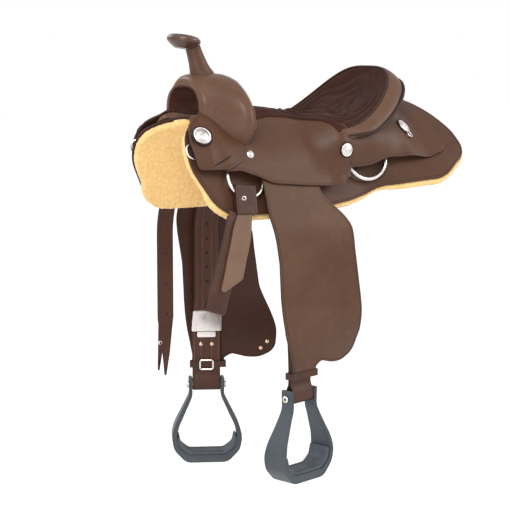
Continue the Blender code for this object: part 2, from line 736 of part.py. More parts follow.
def make_fork():
    bars = grown_bar_cutters()
    wood = COVER_THICK + GAP
    post = turned("horn_post", None, [(0.0, HORN_RISE), (HORN_POST_RADIUS, HORN_RISE),
                                      (HORN_POST_RADIUS, -0.014), (0.0, -0.014)], horn_frame(), 20, CUTTERS)
    bore = turned("horn_bore", None, [(0.0, HORN_RISE + 0.02), (HORN_POST_RADIUS + GAP, HORN_RISE + 0.02),
                                      (HORN_POST_RADIUS + GAP, -0.030), (0.0, -0.030)], horn_frame(), 20, CUTTERS)
    cap_tool = turned("cap_tool", None, cap_profile(GAP), cap_frame(), 32, CUTTERS)
    fork = fork_solid("tree_fork", TREE, -wood, True, wood)
    cut(fork, bars)
    boolean(fork, post, 'UNION')
    apply_modifiers(fork)
    cut(fork, [cap_tool])
    cover = fork_solid("swell_cover", LEATHER, 0.0, True, 0.0)
    hollow = fork_solid("cover_hollow", None, -COVER_THICK, False, COVER_THICK, CUTTERS)
    cut(cover, [hollow, *bars, bore])
    lining_outer = moved_section(GULLET_SECTION, LINING_THICK)
    ring = [(-y, z) for y, z in lining_outer[:0:-1]] + lining_outer
    ring += list(GULLET_SECTION[::-1]) + [(-y, z) for y, z in GULLET_SECTION[1:]]
    lining = loft("gullet_lining", DARK_LEATHER, [
        [Vector((x, y, z)) for y, z in ring] for x in (FORK_STATIONS[0][0], -0.204, FORK_STATIONS[-1][0])])
    cut(lining, bars)
    wrap = turned("horn_wrap", DARK_LEATHER, [
        (0.0, HORN_RISE), (HORN_NECK_RADIUS + 0.0006, HORN_RISE), (HORN_NECK_RADIUS, 0.042),
        (HORN_NECK_RADIUS + 0.0006, 0.026), (0.0178, 0.014), (0.0225, 0.007), (HORN_FLARE_RADIUS, 0.002),
        (HORN_FLARE_RADIUS + 0.001, -0.012), (0.0, -0.012)], horn_frame(), 24)
    seat_of_wrap = fork_solid("seat_of_wrap", None, GAP, False, -GAP, CUTTERS)
    cut(wrap, [seat_of_wrap, bore, cap_tool])
    turned("horn_cap", LEATHER, cap_profile(), cap_frame(), 32)


# Jockeys, cut round the fork
def make_jockeys():
    clear = fork_solid("fork_clearance", None, GAP, False, -GAP, CUTTERS)
    for name, side in SIDES.items():
        seat = layered(f"seat_jockey_{name}", LEATHER, seat_jockey_outline(), seat_jockey_height,
                       lambda x, s: seat_jockey_height(x, s) + JOCKEY_THICK, on_form(side),
                       JOCKEY_LINES)
        front = layered(f"front_jockey_{name}", LEATHER, front_jockey_outline(), front_jockey_height,
                        lambda x, s: front_jockey_height(x, s) + JOCKEY_THICK, on_form(side),
                        JOCKEY_LINES)
        layered(f"rear_jockey_{name}", LEATHER, rear_jockey_outline(), rear_jockey_height,
                lambda x, s: rear_jockey_height(x, s) + JOCKEY_THICK, on_form(side), JOCKEY_LINES)
        cut(seat, [clear])
        cut(front, [clear])


# Seat, ground seat and cantle
def crest(angle, grow=0.0):
    """Point of the cantle's crest, by angle from its middle."""
    a = radians(angle)
    x = CREST_X + (CREST_REACH + grow) * cos(a)
    y = (CREST_HALF_WIDTH + grow) * abs(sin(a)) ** CREST_SQUARE
    z = CREST_FOOT + (CREST_HEIGHT - CREST_FOOT) * abs(cos(a)) ** CREST_POWER
    return Vector((x, y if angle >= 0 else -y, z))


def rim(angle):
    """Outer edge of the roll; it runs out to the crest at both points of the cantle."""
    a = radians(angle)
    far = Vector((RIM_X + RIM_REACH * cos(a), RIM_HALF_WIDTH * abs(sin(a)) ** CREST_SQUARE * (1 if angle >= 0 else -1),
                  RIM_FOOT + (RIM_HEIGHT - RIM_FOOT) * abs(cos(a)) ** RIM_POWER))
    near = crest(angle)
    share = 0.44 + 0.56 * ease((90.0 - abs(angle)) / (90.0 - RIM_TAPER))
    return near + (far - near) * share


def jockey_top(x, y):
    """Height of the seat jockey's top at a place in plan."""
    low, high = 0.0, 0.220
    for _ in range(30):
        s = (low + high) / 2
        if form_point(x, s, seat_jockey_height(x, s) + JOCKEY_THICK, 1).y < y:
            low = s
        else:
            high = s
    return form_point(x, low, seat_jockey_height(x, low) + JOCKEY_THICK, 1).z


def seat_rows():
    """(x, half width, edge height, centre height) of the seat, from front to crest."""
    rows = [(x, half, jockey_top(x, half) + PAD_EDGE, centre) for x, half, centre in SEAT_ROWS]
    for angle, centre in CREST_ROWS:
        top = crest(angle)
        rows.append((top.x, top.y, top.z, centre))
    return rows


def seat_ring(row, half, top_drop, bottom):
    """Ring of a sheet that follows the seat's surface, no wider than half."""
    x, edge_half, edge, centre = row
    shares = (-1.0, -0.92, -0.79, -0.59, -0.32, 0.0, 0.32, 0.59, 0.79, 0.92, 1.0)
    width = min(half, edge_half)

    def top(y):
        return centre + (edge - centre) * min(abs(y) / edge_half, 1.0) ** SEAT_POWER - top_drop
    upper = [Vector((x, v * width, top(v * width))) for v in shares]
    lower = [Vector((x, p.y, bottom(p.z))) for p in reversed(upper)]
    return upper + lower


def make_seat():
    cutters = grown_jockey_cutters()
    bars = grown_bar_cutters()
    rows = seat_rows()
    pad = loft("seat_pad", SUEDE, [seat_ring(row, 1.0, 0.0, lambda z: z - PAD_THICK) for row in rows])
    cut(pad, cutters + bars)
    under = PAD_THICK + 2 * LAYER_GAP
    ground = loft("ground_seat", DARK_LEATHER, [
        seat_ring(row, GROUND_SEAT_HALF_WIDTH, under, lambda z: z - GROUND_SEAT_THICK)
        for row in rows if row[0] < 0.095])
    cut(ground, bars)
    cantle = loft("tree_cantle", TREE, [
        seat_ring(row, row[1] - 0.005, under + 0.0006, lambda z: -0.030) for row in rows if 0.100 < row[0] < 0.2150])
    channel = cutter_box("channel", (0.060, -0.062, -0.150), (0.300, 0.062, 0.0530))
    cut(cantle, [channel, *cutters, *bars])
    half = [angle for angle, _ in CREST_ROWS]
    angles = [-angle for angle in half] + half[::-1]
    rings, edge = [], []
    for angle in angles:
        inner, outer = crest(angle, GAP + 0.0002), rim(angle)
        out = Vector((outer.x - inner.x, outer.y - inner.y, 0.0)).normalized()
        wall = inner + out * CANTLE_WALL
        along = rim(min(angle + 1, 90)) - rim(max(angle - 1, -90))
        skew = abs(Vector((along.y, -along.x)).normalized() @ Vector((out.x, out.y)))
        near_rim = outer - out * ((BINDING_RADIUS + GAP + 0.0003) / max(skew, 0.5))
        middle = (inner + outer) / 2 + Vector((0, 0, ROLL_CROWN))
        under_rim = near_rim - Vector((0, 0, ROLL_EDGE)) - out * 0.002
        foot = Vector((wall.x, wall.y, inner.z - 0.024))
        hollow = ((foot + under_rim) / 2).lerp((wall + under_rim) / 2 - Vector((0, 0, 0.006)),
                                               ease(((outer - inner).length - 0.020) / 0.010))
        rings.append([
            inner - Vector((0, 0, 0.0012)), inner + (middle - inner) * 0.35 + Vector((0, 0, 0.0022)), middle, near_rim,
            under_rim, hollow, foot, Vector((wall.x, wall.y, -0.047)),
            Vector((inner.x, inner.y, -0.047))])
        edge.append(outer - Vector((0, 0, ROLL_EDGE * 0.45)))
    back = loft("cantle_back", LEATHER, rings)
    behind = channel_cutter("channel_behind", 0.140, 0.300, form_point(0.215, 0.018, COVER_HIGH + JOCKEY_THICK, 1).z)
    cut(back, [behind, *cutters])
    binding = rod_mesh("cantle_binding", DARK_LEATHER, edge, BINDING_RADIUS)
    cut(binding, cutters)


# Stirrup leathers, fenders and their fittings
def on_hang(name):
    side = SIDES[name]

    def place(x, t, w):
        return twist(fender_point(x, t, w, side), name)
    return place


def hang_ease(t):
    """Slack between the leather and the fender below the skirts, where both turn with the stirrup."""
    return HANG_SLACK * ease((t - 0.240) / 0.040)


def fender_outline(drop):
    def low(x, t, radius):
        return x, t + drop, radius
    return rounded([
        (-0.157, 0.152, 0.005), low(-0.157, 0.226, 0.060), low(-0.141, 0.316, 0.080), low(-0.137, 0.390, 0.120),
        low(-0.126, 0.470, 0.060), low(-0.116, 0.525, 0.010), low(-0.118, 0.550, 0.003), low(-0.047, 0.550, 0.003),
        low(-0.047, 0.531, 0.006), low(-0.030, 0.522, 0.012), low(0.000, 0.530, 0.040), low(0.030, 0.532, 0.060),
        low(0.064, 0.515, 0.030), low(0.070, 0.470, 0.050), low(0.062, 0.400, 0.100), low(0.046, 0.300, 0.080),
        low(0.041, 0.260, 0.030), low(0.020, 0.235, 0.040), low(-0.018, 0.200, 0.040), (-0.030, 0.152, 0.005)])


def extruded(name, mat, outline, holes, low, high, place, lines=((), ()), middle=False):
    """Solid of an outline in (u, v) carried from low to high along the third direction."""
    bm = slab(outline, holes, lines, middle)
    for vert in bm.verts:
        vert.co = place(vert.co.x, vert.co.y, low + (high - low) * vert.co.z)
    bmesh.ops.triangulate(bm, faces=bm.faces)
    return new_object(bm, name, mat)


def leather_profile(drop):
    """Side view (t, w) of the doubled leather: a loop round the rail and a loop round the sleeve."""
    bolt = BOLT_DROP + drop
    top, low = HANGER_S - HANGER_ROOM - 0.0034, SLEEVE_RADIUS + GAP + 0.0044
    middle = (LEATHER_IN + LEATHER_OUT) / 2
    return rounded([
        (top, RAIL_IN - 0.0044, 0.0055), (top, RAIL_OUT + 0.0044, 0.0055), (0.1300, RAIL_OUT + 0.0054, 0.020),
        (0.148, LEATHER_OUT, 0.020),
        (bolt - 0.030, LEATHER_OUT, 0.012), (bolt - 0.014, middle + low, 0.010), (bolt + low, middle + low, low),
        (bolt + low, middle - low, low), (bolt - 0.014, middle - low, 0.010), (bolt - 0.030, LEATHER_IN, 0.012),
        (0.148, LEATHER_IN, 0.020), (0.1300, RAIL_IN - 0.0020, 0.020)])


def circle(u, v, radius, steps):
    return [Vector((u + radius * cos(2 * pi * k / steps), v + radius * sin(2 * pi * k / steps)))
            for k in range(steps)]


def make_leathers():
    for name, side in SIDES.items():
        drop = DROP[name]
        place = on_hang(name)
        layered(f"fender_{name}", LEATHER, fender_outline(drop), lambda x, t: FENDER_IN + hang_ease(t),
                lambda x, t: FENDER_OUT + hang_ease(t), place, HANG_LINES)
        slot = rounded([
            (HANGER_S - HANGER_ROOM, RAIL_IN - 0.0006, 0.002), (HANGER_S - HANGER_ROOM, RAIL_OUT + 0.0006, 0.002),
            (HANGER_S + HANGER_ROOM, RAIL_OUT + 0.0006, 0.002), (HANGER_S + HANGER_ROOM, RAIL_IN - 0.0006, 0.002)])
        middle = (LEATHER_IN + LEATHER_OUT) / 2
        extruded(f"stirrup_leather_{name}", STRAP_LEATHER, leather_profile(drop),
                 (slot, circle(BOLT_DROP + drop, middle, SLEEVE_RADIUS + GAP, 16)),
                 LEATHER_X - LEATHER_WIDTH / 2, LEATHER_X + LEATHER_WIDTH / 2,
                 lambda t, w, x: place(x, t, w), (HANG_T, ()), True)
        half, rim_w, face_w = LEATHER_WIDTH / 2 + GAP, LEATHER_OUT - 0.0016, LEATHER_IN - GAP - 0.0004
        plate = rounded([
            (LEATHER_X - half - 0.002, rim_w, 0.0008), (LEATHER_X - half, rim_w, 0.0),
            (LEATHER_X - half, face_w, 0.0), (LEATHER_X + half, face_w, 0.0),
            (LEATHER_X + half, rim_w, 0.0), (LEATHER_X + half + 0.002, rim_w, 0.0008),
            (LEATHER_X + half + 0.002, face_w - 0.0022, 0.002), (LEATHER_X - half - 0.002, face_w - 0.0022, 0.002)])
        extruded(f"plate_buckle_{name}", STEEL, plate, (), 0.423 + drop, 0.470 + drop,
                 lambda x, w, t: place(x, t, w), (HANG_X, ()), True)
        band_in, band_out = LEATHER_IN - GAP, FENDER_OUT + HANG_SLACK + GAP
        inside = rounded([(-0.1190, band_in, 0.001), (-0.1190, band_out, 0.001), (-0.0460, band_out, 0.001),
                          (-0.0460, band_in, 0.001)])
        outside = rounded([(-0.1216, band_in - 0.0026, 0.003), (-0.1216, band_out + 0.0026, 0.003),
                           (-0.0434, band_out + 0.0026, 0.003), (-0.0434, band_in - 0.0026, 0.003)])
        extruded(f"hobble_strap_{name}", DARK_LEATHER, outside, (inside,), 0.5365 + drop, 0.5495 + drop,
                 lambda x, w, t: place(x, t, w))
        lift = band_in - 0.0026 - GAP - 0.0018
        frame = rounded([(-0.100, 0.5330 + drop, 0.004), (-0.072, 0.5330 + drop, 0.004),
                         (-0.072, 0.5530 + drop, 0.004), (-0.100, 0.5530 + drop, 0.004)])
        rod_mesh(f"hobble_buckle_{name}", STEEL, [place(p[0], p[1], lift) for p in frame], 0.0018, 1, True)
        # The leather rocks on the part of its bend that lies above the load
        pivot = fender_point(LEATHER_X + SWING_OFFSET, HANGER_S, (RAIL_IN + RAIL_OUT) / 2, side)
        hang_from(pivot, f"fender_{name}", f"stirrup_leather_{name}", f"plate_buckle_{name}",
                  f"hobble_strap_{name}", f"hobble_buckle_{name}")


# Stirrups
def stirrup_frame(name):
    """Frame on the bolt: X runs along the bolt, Z up and Y to the stirrup's inner side."""
    side = SIDES[name]
    centre = fender_point(LEATHER_X, BOLT_DROP + DROP[name], (LEATHER_IN + LEATHER_OUT) / 2, side)
    return Matrix.Translation(centre) @ Matrix.Rotation(radians(YAW[name]), 4, 'Z')


STIRRUP_LINES = (0.020, 0.040, 0.060, 0.080, 0.100, 0.125)


def stirrup_depth(v):
    return EAR_DEPTH + (TREAD_DEPTH - EAR_DEPTH) * ease((v - 0.020) / 0.105)


def stirrup_outline():
    """Face view (u, v), v down from the bolt: outside of one leg, bottom, other leg, then inside."""
    outer = [(0.039, -EAR_TOP, 0.006), (0.0375, 0.020, 0.020), (0.056, 0.058, 0.050), (0.070, 0.086, 0.050),
             (STIRRUP_HALF_WIDTH + 0.001, 0.112, 0.030), (0.072, 0.140, 0.030), (0.045, STIRRUP_HEIGHT, 0.022)]
    inner = [(0.0308, -EAR_TOP, 0.003), (0.0308, 0.024, 0.020), (0.0475, 0.061, 0.050), (0.0605, 0.088, 0.040),
             (0.0660, 0.112, 0.020), (0.0610, 0.136, 0.016), (0.0400, 0.1515, 0.020)]
    left = [(-u, v, r) for u, v, r in outer]
    return rounded(outer + left[::-1] + [(-u, v, r) for u, v, r in inner] + inner[::-1])


def make_stirrups():
    for name in SIDES:
        frame = stirrup_frame(name)

        def place(u, v, d):
            return frame @ Vector((u, d * stirrup_depth(v), -v))
        stirrup = extruded(f"stirrup_{name}", COMPOSITE, stirrup_outline(), (), -0.5, 0.5, place, ((), STIRRUP_LINES))
        along = frame @ Matrix.Rotation(radians(90), 4, 'Y')
        bore = turned(f"ear_bore_{name}", None, [(0.0, 0.060), (BOLT_RADIUS + GAP, 0.060),
                                                 (BOLT_RADIUS + GAP, -0.060), (0.0, -0.060)], along, 16, CUTTERS)
        cut(stirrup, [bore])
        reach = 0.039 + GAP
        turned(f"stirrup_bolt_{name}", STEEL, [
            (0.0, reach + 0.004), (BOLT_HEAD_RADIUS - 0.001, reach + 0.004), (BOLT_HEAD_RADIUS, reach + 0.003),
            (BOLT_HEAD_RADIUS, reach), (BOLT_RADIUS, reach), (BOLT_RADIUS, 0.0300), (SLEEVE_RADIUS, 0.0300),
            (SLEEVE_RADIUS, -0.0300), (BOLT_RADIUS, -0.0300), (BOLT_RADIUS, -reach), (BOLT_HEAD_RADIUS, -reach),
            (BOLT_HEAD_RADIUS, -reach - 0.003), (BOLT_HEAD_RADIUS - 0.001, -reach - 0.004), (0.0, -reach - 0.004)],
            along, 16)
        under = GAP
        pad_low = [(0.0638, 0.113, 0.002), (0.0648, 0.1180, 0.010), (0.0606, 0.1354, 0.016),
                   (0.0400, 0.1515 - under, 0.020)]
        pad_top = [(0.0605, 0.110, 0.004), (0.0560, 0.131, 0.012), (0.0380, 0.1515 - TREAD_PAD_THICK, 0.016)]
        ring = pad_low + [(-u, v, r) for u, v, r in pad_low[::-1]] + [(-u, v, r) for u, v, r in pad_top]
        ring += pad_top[::-1]

        def on_tread(u, v, d):
            return frame @ Vector((u, d * (stirrup_depth(v) - 0.004), -v))
        extruded(f"tread_pad_{name}", RUBBER, rounded(ring), (), -0.5, 0.5, on_tread, ((), STIRRUP_LINES))
        hang_from(frame.translation, f"stirrup_{name}", f"tread_pad_{name}", f"stirrup_bolt_{name}")


# Rigging: rings, dees, latigo and billet
def ring_frame(name):
    """Frame of the rigging ring; Z is its axis, tipped so the ring clears the jockey and the skirt."""
    side = SIDES[name]
    centre = form_point(RING_X, RING_S, RING_H, side)
    angle = radians(SIDE_SLOPES[1] - RING_TIP)
    return frame_at(centre, Vector((0.0, side * sin(angle), cos(angle))))


def ring_points(name, count=24):
    frame = ring_frame(name)
    return [frame @ Vector((RING_RADIUS * cos(2 * pi * k / count), RING_RADIUS * sin(2 * pi * k / count), 0.0))
            for k in range(count)]


def ring_tool(name):
    tool = rod_mesh(f"ring_tool_{name}", None, ring_points(name), RING_ROD + 0.0006, 1, True)
    PARTS.objects.unlink(tool)
    CUTTERS.objects.link(tool)
    tool.hide_render = True
    tool.display_type = 'WIRE'
    return tool


def strap_slab(name, mat, side, outline, inner, outer):
    return layered(name, mat, rounded(outline), constant(inner), outer,
                   lambda x, t, w: fender_point(x, t, w, side), ((), (0.190, 0.202, 0.212, 0.222, *HANG_T)))


def make_rigging():
    for name, side in SIDES.items():
        rod_mesh(f"front_rig_ring_{name}", STEEL, ring_points(name), RING_ROD, 1, True)
        tool = ring_tool(name)
        strap = layered(f"front_rig_strap_{name}", STRAP_LEATHER, rounded([
            (RING_X - RIG_STRAP_WIDTH / 2, BAR_RING_EDGE + GAP, 0.0), (RING_X - RIG_STRAP_WIDTH / 2, 0.1270, 0.003),
            (RING_X + RIG_STRAP_WIDTH / 2, 0.1270, 0.003), (RING_X + RIG_STRAP_WIDTH / 2, BAR_RING_EDGE + GAP, 0.0)]),
            constant(0.0218), constant(0.0368), on_form(side), (FORM_X, FINE_S))
        cut(strap, [tool])
        if name == "near":
            wrap = strap_slab("latigo_wrap", STRAP_LEATHER, side, [
                (-0.2190, 0.1680, 0.003), (-0.2190, WRAP_END, 0.004), (-0.1730, WRAP_END, 0.004), (-0.1730, 0.1680, 0.003)],
                0.0226, lambda x, t: 0.0376 - 0.0056 * ease((t - 0.202) / 0.020))
            cut(wrap, [tool])
        else:
            billet = strap_slab("off_billet", STRAP_LEATHER, side, [
                (-0.2080, 0.1680, 0.003), (-0.2080, 0.5700, 0.006), (-0.1890, 0.6060, 0.004), (-0.1700, 0.5700, 0.006),
                (-0.1700, 0.1680, 0.003)],
                0.0226, lambda x, t: 0.0376 - 0.0070 * ease((t - 0.202) / 0.020))
            cut(billet, [tool])
    make_latigo()
    hang_from(ring_frame("near").translation, "front_rig_ring_near", "latigo_wrap", "latigo", "latigo_end")
    hang_from(ring_frame("off").translation, "front_rig_ring_off", "off_billet")
    for name, side in SIDES.items():
        make_rear_rig(name, side)
        centre = form_point(BREAST_X, BREAST_S, SKIRT_OUT + SLIDE_GAP + BREAST_ROD, side)
        normal = form_normal(BREAST_X, BREAST_S, side)
        place = frame_at(centre, normal)
        rod_mesh(f"breast_dee_{name}", STEEL, [
            place @ Vector((BREAST_RADIUS * cos(2 * pi * k / 16), BREAST_RADIUS * sin(2 * pi * k / 16), 0.0))
            for k in range(16)], BREAST_ROD, 1, True)


def leaned(point, name, angle):
    """Point turned about the axis of the rigging ring."""
    frame = ring_frame(name)
    return frame @ Matrix.Rotation(radians(angle), 4, 'Z') @ frame.inverted() @ point


def make_latigo():
    """The hanging loop and, in front of it, the end that carries the spare length."""
    side = SIDES["near"]

    def lean(angle):
        return lambda t, w, x: leaned(fender_point(x, t, w, side), "near", side * angle)
    loop = rounded([(0.2150, 0.0234, 0.001), (0.2150, 0.0314, 0.001), (0.3900, 0.0314, 0.020),
                    (0.4000, 0.0350, 0.010), (0.4180, 0.0340, 0.007), (0.4180, 0.0210, 0.007),
                    (0.4000, 0.0198, 0.010), (0.3900, 0.0234, 0.020)])
    slit = rounded([(0.2600, 0.0269, 0.0), (0.2600, 0.0279, 0.0), (0.3900, 0.0279, 0.010), (0.4000, 0.0310, 0.006),
                    (0.4130, 0.0300, 0.004), (0.4130, 0.0250, 0.004), (0.4000, 0.0238, 0.006),
                    (0.3900, 0.0269, 0.010)])
    hanging = extruded("latigo", STRAP_LEATHER, loop, (slit,), LATIGO_X - LATIGO_WIDTH / 2,
                       LATIGO_X + LATIGO_WIDTH / 2, lean(LATIGO_LEAN), (HANG_T, ()))
    above = layered("above_latigo", None, rounded([(-0.300, 0.160, 0.0), (-0.300, WRAP_END + GAP, 0.0),
                                                   (-0.120, WRAP_END + GAP, 0.0), (-0.120, 0.160, 0.0)]),
                    constant(0.0100), constant(0.0500), lambda x, t, w: fender_point(x, t, w, side), ((), ()), CUTTERS)
    cut(hanging, [above])
    bm = slab(rounded([(LATIGO_X - 0.021, 0.2060, 0.002), (LATIGO_X - 0.021, 0.3700, 0.012),
                       (LATIGO_X + 0.021, 0.3480, 0.006), (LATIGO_X + 0.021, 0.2060, 0.002)]), (),
              ((), (0.216, 0.229, 0.242, *HANG_T)))
    for vert in bm.verts:
        w = (0.0388 if vert.co.y < 0.216 else 0.0388 - 0.0066 * ease((vert.co.y - 0.216) / 0.026))
        w += STRAP_THICK if vert.co.z > 0.5 else 0.0
        vert.co = lean(LATIGO_END_LEAN)(vert.co.y, w, vert.co.x)
    bmesh.ops.triangulate(bm, faces=bm.faces)
    new_object(bm, "latigo_end", STRAP_LEATHER)


def make_rear_rig(name, side):
    front = form_point(DEE_X - DEE_HALF_WIDTH, DEE_S - 0.003, 0.0305, side)
    rear = form_point(DEE_X + DEE_HALF_WIDTH, DEE_S - 0.003, 0.0305, side)
    foot = form_point(DEE_X, DEE_S + DEE_DEPTH, 0.0312, side)
    normal = (rear - front).cross(foot - front) * -side
    place = frame_at((front + rear) / 2, normal, rear - front)
    low = place.inverted() @ form_point(DEE_X, DEE_S + 0.05, 0.0300, side)
    down = 1.0 if low.y > 0 else -1.0
    arc = [place @ Vector((DEE_HALF_WIDTH * cos(pi * k / 14), down * DEE_DEPTH * sin(pi * k / 14), 0.0))
           for k in range(15)]
    rod_mesh(f"rear_dee_{name}", STEEL, arc, DEE_ROD, 1, True)
    hang_from((front + rear) / 2, f"rear_dee_{name}")
    bar_tool = turned(f"dee_tool_{name}", None, [
        (0.0, 0.055), (DEE_ROD + 0.0008, 0.055), (DEE_ROD + 0.0008, -0.055), (0.0, -0.055)],
        place @ Matrix.Rotation(radians(90), 4, 'Y'), 12, CUTTERS)
    strap = layered(f"rear_rig_strap_{name}", STRAP_LEATHER, rounded([
        (DEE_X - 0.0265, BAR_LOW_EDGE + 0.0008, 0.0), (DEE_X - 0.0265, 0.1480, 0.003),
        (DEE_X + 0.0265, 0.1480, 0.003), (DEE_X + 0.0265, BAR_LOW_EDGE + 0.0008, 0.0)]),
        constant(0.0218), constant(0.0372), on_form(side), (FORM_X, FINE_S))
    cut(strap, [bar_tool])


# Conchos
def concho(name, x, s, height, side, radius, rise):
    """Domed plate with a raised edge, seated on the leather under it."""
    point = form_point(x, s, height(x, s) + JOCKEY_THICK, side)
    step = 0.004
    along = form_point(x + step, s, height(x + step, s) + JOCKEY_THICK, side) - point
    across = form_point(x, s + step, height(x, s + step) + JOCKEY_THICK, side) - point
    normal = along.cross(across)
    if normal.y * side < 0:
        normal.negate()
    normal.normalize()
    stand = 0.0
    for k in range(24):
        for reach in (0.35 * radius, 0.70 * radius, radius):
            u, v = x + reach * cos(pi * k / 12), s + reach * sin(pi * k / 12)
            stand = max(stand, (form_point(u, v, height(u, v) + JOCKEY_THICK, side) - point).dot(normal))
    place = frame_at(point + normal * (stand + GAP), normal)
    turned(name, STEEL, [
        (0.0, rise), (0.30 * radius, rise * 0.94), (0.62 * radius, rise * 0.70), (0.84 * radius, rise * 0.40),
        (0.95 * radius, rise * 0.42), (radius, rise * 0.24), (radius, 0.0), (0.0, 0.0)], place, 20)
    return place


def make_conchos():
    for name, side in SIDES.items():
        concho(f"front_concho_{name}", *FRONT_CONCHO, front_jockey_height, side, 0.0185, 0.0060)
        concho(f"seat_concho_{name}", *SEAT_CONCHO, seat_jockey_height, side, 0.0135, 0.0050)
        place = concho(f"rear_concho_{name}", *REAR_CONCHO, rear_jockey_height, side, 0.0160, 0.0055)
        low = place.inverted() @ form_point(REAR_CONCHO[0], REAR_CONCHO[1] + 0.03, 0.045, side)
        down = 1.0 if low.y > 0 else -1.0
        link = rounded([(-0.0065, 0.0172, 0.004), (0.0065, 0.0172, 0.004), (0.0075, 0.0300, 0.006),
                        (-0.0075, 0.0300, 0.006)])
        rod_mesh(f"clip_ring_{name}", STEEL, [place @ Vector((p.x, down * p.y, 0.0022)) for p in link], 0.0014, 1, True)
        hang_from(place @ Vector((0.0, down * 0.0172, 0.0022)), f"clip_ring_{name}")


make_skirts()
make_bars()
make_fork()
make_jockeys()
make_seat()
make_leathers()
make_stirrups()
make_rigging()
make_conchos()
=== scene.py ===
# %% [markdown]
# # Western saddle
# The finished saddle, built over its frame: soft seat, wool, leather with worked edges, wrapped horn and
# plated metal. What lies on the horse is placed by x along the saddle, s down the side and h out from the
# side form.

# %%
from math import atan2, cos, pi, radians, sin, tan

import bmesh
import bpy
import numpy as np
from mathutils import Matrix, Vector


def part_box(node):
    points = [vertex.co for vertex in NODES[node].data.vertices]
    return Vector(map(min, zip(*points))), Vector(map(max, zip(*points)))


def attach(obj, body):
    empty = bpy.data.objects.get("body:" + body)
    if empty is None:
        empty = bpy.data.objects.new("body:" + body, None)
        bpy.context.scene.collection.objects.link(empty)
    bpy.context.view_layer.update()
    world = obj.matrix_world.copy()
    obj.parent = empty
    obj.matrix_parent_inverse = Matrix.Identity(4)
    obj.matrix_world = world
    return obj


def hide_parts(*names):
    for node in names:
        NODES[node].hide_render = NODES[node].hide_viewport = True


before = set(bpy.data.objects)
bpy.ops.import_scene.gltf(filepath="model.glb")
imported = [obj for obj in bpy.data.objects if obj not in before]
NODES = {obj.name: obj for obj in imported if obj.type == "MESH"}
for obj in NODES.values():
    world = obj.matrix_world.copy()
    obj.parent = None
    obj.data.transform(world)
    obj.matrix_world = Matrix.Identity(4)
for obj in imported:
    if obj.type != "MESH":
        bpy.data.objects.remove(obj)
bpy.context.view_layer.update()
SIDES = {"near": -1, "off": 1}

# %% [markdown]
# ## The side form
# The same form as the frame: an arc from the ridge, then a straight slope, with the sizes changing
# towards the front and the rear.

# %%
FLEECE_OUT, SKIRT_IN, SKIRT_OUT = 0.0150, 0.0159, 0.0204
COVER_LOW, COVER_HIGH, JOCKEY, LAP_ROOM = 0.0210, 0.0386, 0.0045, 0.0006
FENDER_OUT, FENDER_IN, LEATHER_OUT, LEATHER_IN = 0.0374, 0.0332, 0.0329, 0.0241
LEATHER_X, LEATHER_HALF, BOLT_DROP, BEND_START, BEND_ROLL = -0.086, 0.030, 0.588, 0.245, 0.150
FORM_ROLL, FORM_START, FORM_SLOPE, FORM_RIDGE = 0.150, radians(15.0), 72.0, 0.028
YAW = {"near": 12.0, "off": -30.0}
DROP = {"near": 0.0, "off": 0.038}


def ease(t):
    """Smooth step: three t squared minus two t cubed, held at 0 and 1 outside."""
    t = np.clip(t, 0.0, 1.0)
    return t * t * (3.0 - 2.0 * t)


def station(x, front, middle, rear):
    """A size along the saddle: the middle value, eased to the front and rear values."""
    at_front, at_rear = ease((-0.190 - x) / 0.110), ease((x - 0.090) / 0.240)
    return middle + (front - middle) * at_front + (rear - middle) * at_rear


def form(x, s, h, side):
    """Point of the side form: ridge, then the roll's radius times the angle, then the slope; h is out."""
    x, s, h = np.broadcast_arrays(np.asarray(x, float), np.asarray(s, float), np.asarray(h, float))
    ridge, roll = station(x, 0.048, FORM_RIDGE, 0.057), station(x, 0.130, FORM_ROLL, 0.290)
    start, slope = FORM_START, np.radians(station(x, 74.0, FORM_SLOPE, 60.0))
    arc = roll * (slope - start)
    angle = start + np.minimum(s, arc) / roll
    straight = np.maximum(s - arc, 0.0)
    y = roll * (np.sin(angle) - sin(start)) + straight * np.cos(slope) + h * np.sin(angle)
    z = ridge - roll * (cos(start) - np.cos(angle)) - straight * np.sin(slope) + h * np.cos(angle)
    return np.stack([x, side * y, z], -1)


def hang(x, t, w, name, turn=True):
    """Point on the hang of a fender: the slope, a bend of 150 mm radius, then plumb; turned with depth."""
    side = SIDES[name]
    x, t, w = np.broadcast_arrays(np.asarray(x, float), np.asarray(t, float), np.asarray(w, float))
    slope, start, roll = radians(FORM_SLOPE), FORM_START, FORM_ROLL
    run = np.minimum(t, BEND_START) - roll * (slope - start)
    bend = np.minimum(np.maximum(t - BEND_START, 0.0) / BEND_ROLL, pi / 2 - slope)
    y = roll * (sin(slope) - sin(start)) + run * cos(slope) + BEND_ROLL * (np.sin(slope + bend) - sin(slope))
    z = FORM_RIDGE - roll * (cos(start) - cos(slope)) - run * sin(slope)
    z = z - BEND_ROLL * (cos(slope) - np.cos(slope + bend))
    z = z - np.maximum(t - BEND_START - BEND_ROLL * (pi / 2 - slope), 0.0)
    y, z = y + w * np.sin(slope + bend), z + w * np.cos(slope + bend)
    point = np.stack([x, side * y, z], -1)
    if not turn:
        return point
    centre = hang(LEATHER_X, BOLT_DROP, (LEATHER_IN + LEATHER_OUT) / 2, name, False)
    angle = radians(YAW[name]) * ease((-0.330 - z) / 0.125)
    dx, dy = point[..., 0] - centre[0], point[..., 1] - centre[1]
    return np.stack([centre[0] + dx * np.cos(angle) - dy * np.sin(angle),
                     centre[1] + dx * np.sin(angle) + dy * np.cos(angle), z], -1)


def slack(t):
    """Room between the leather and the fender below the skirts."""
    return 0.0014 * ease((t - 0.240) / 0.040)


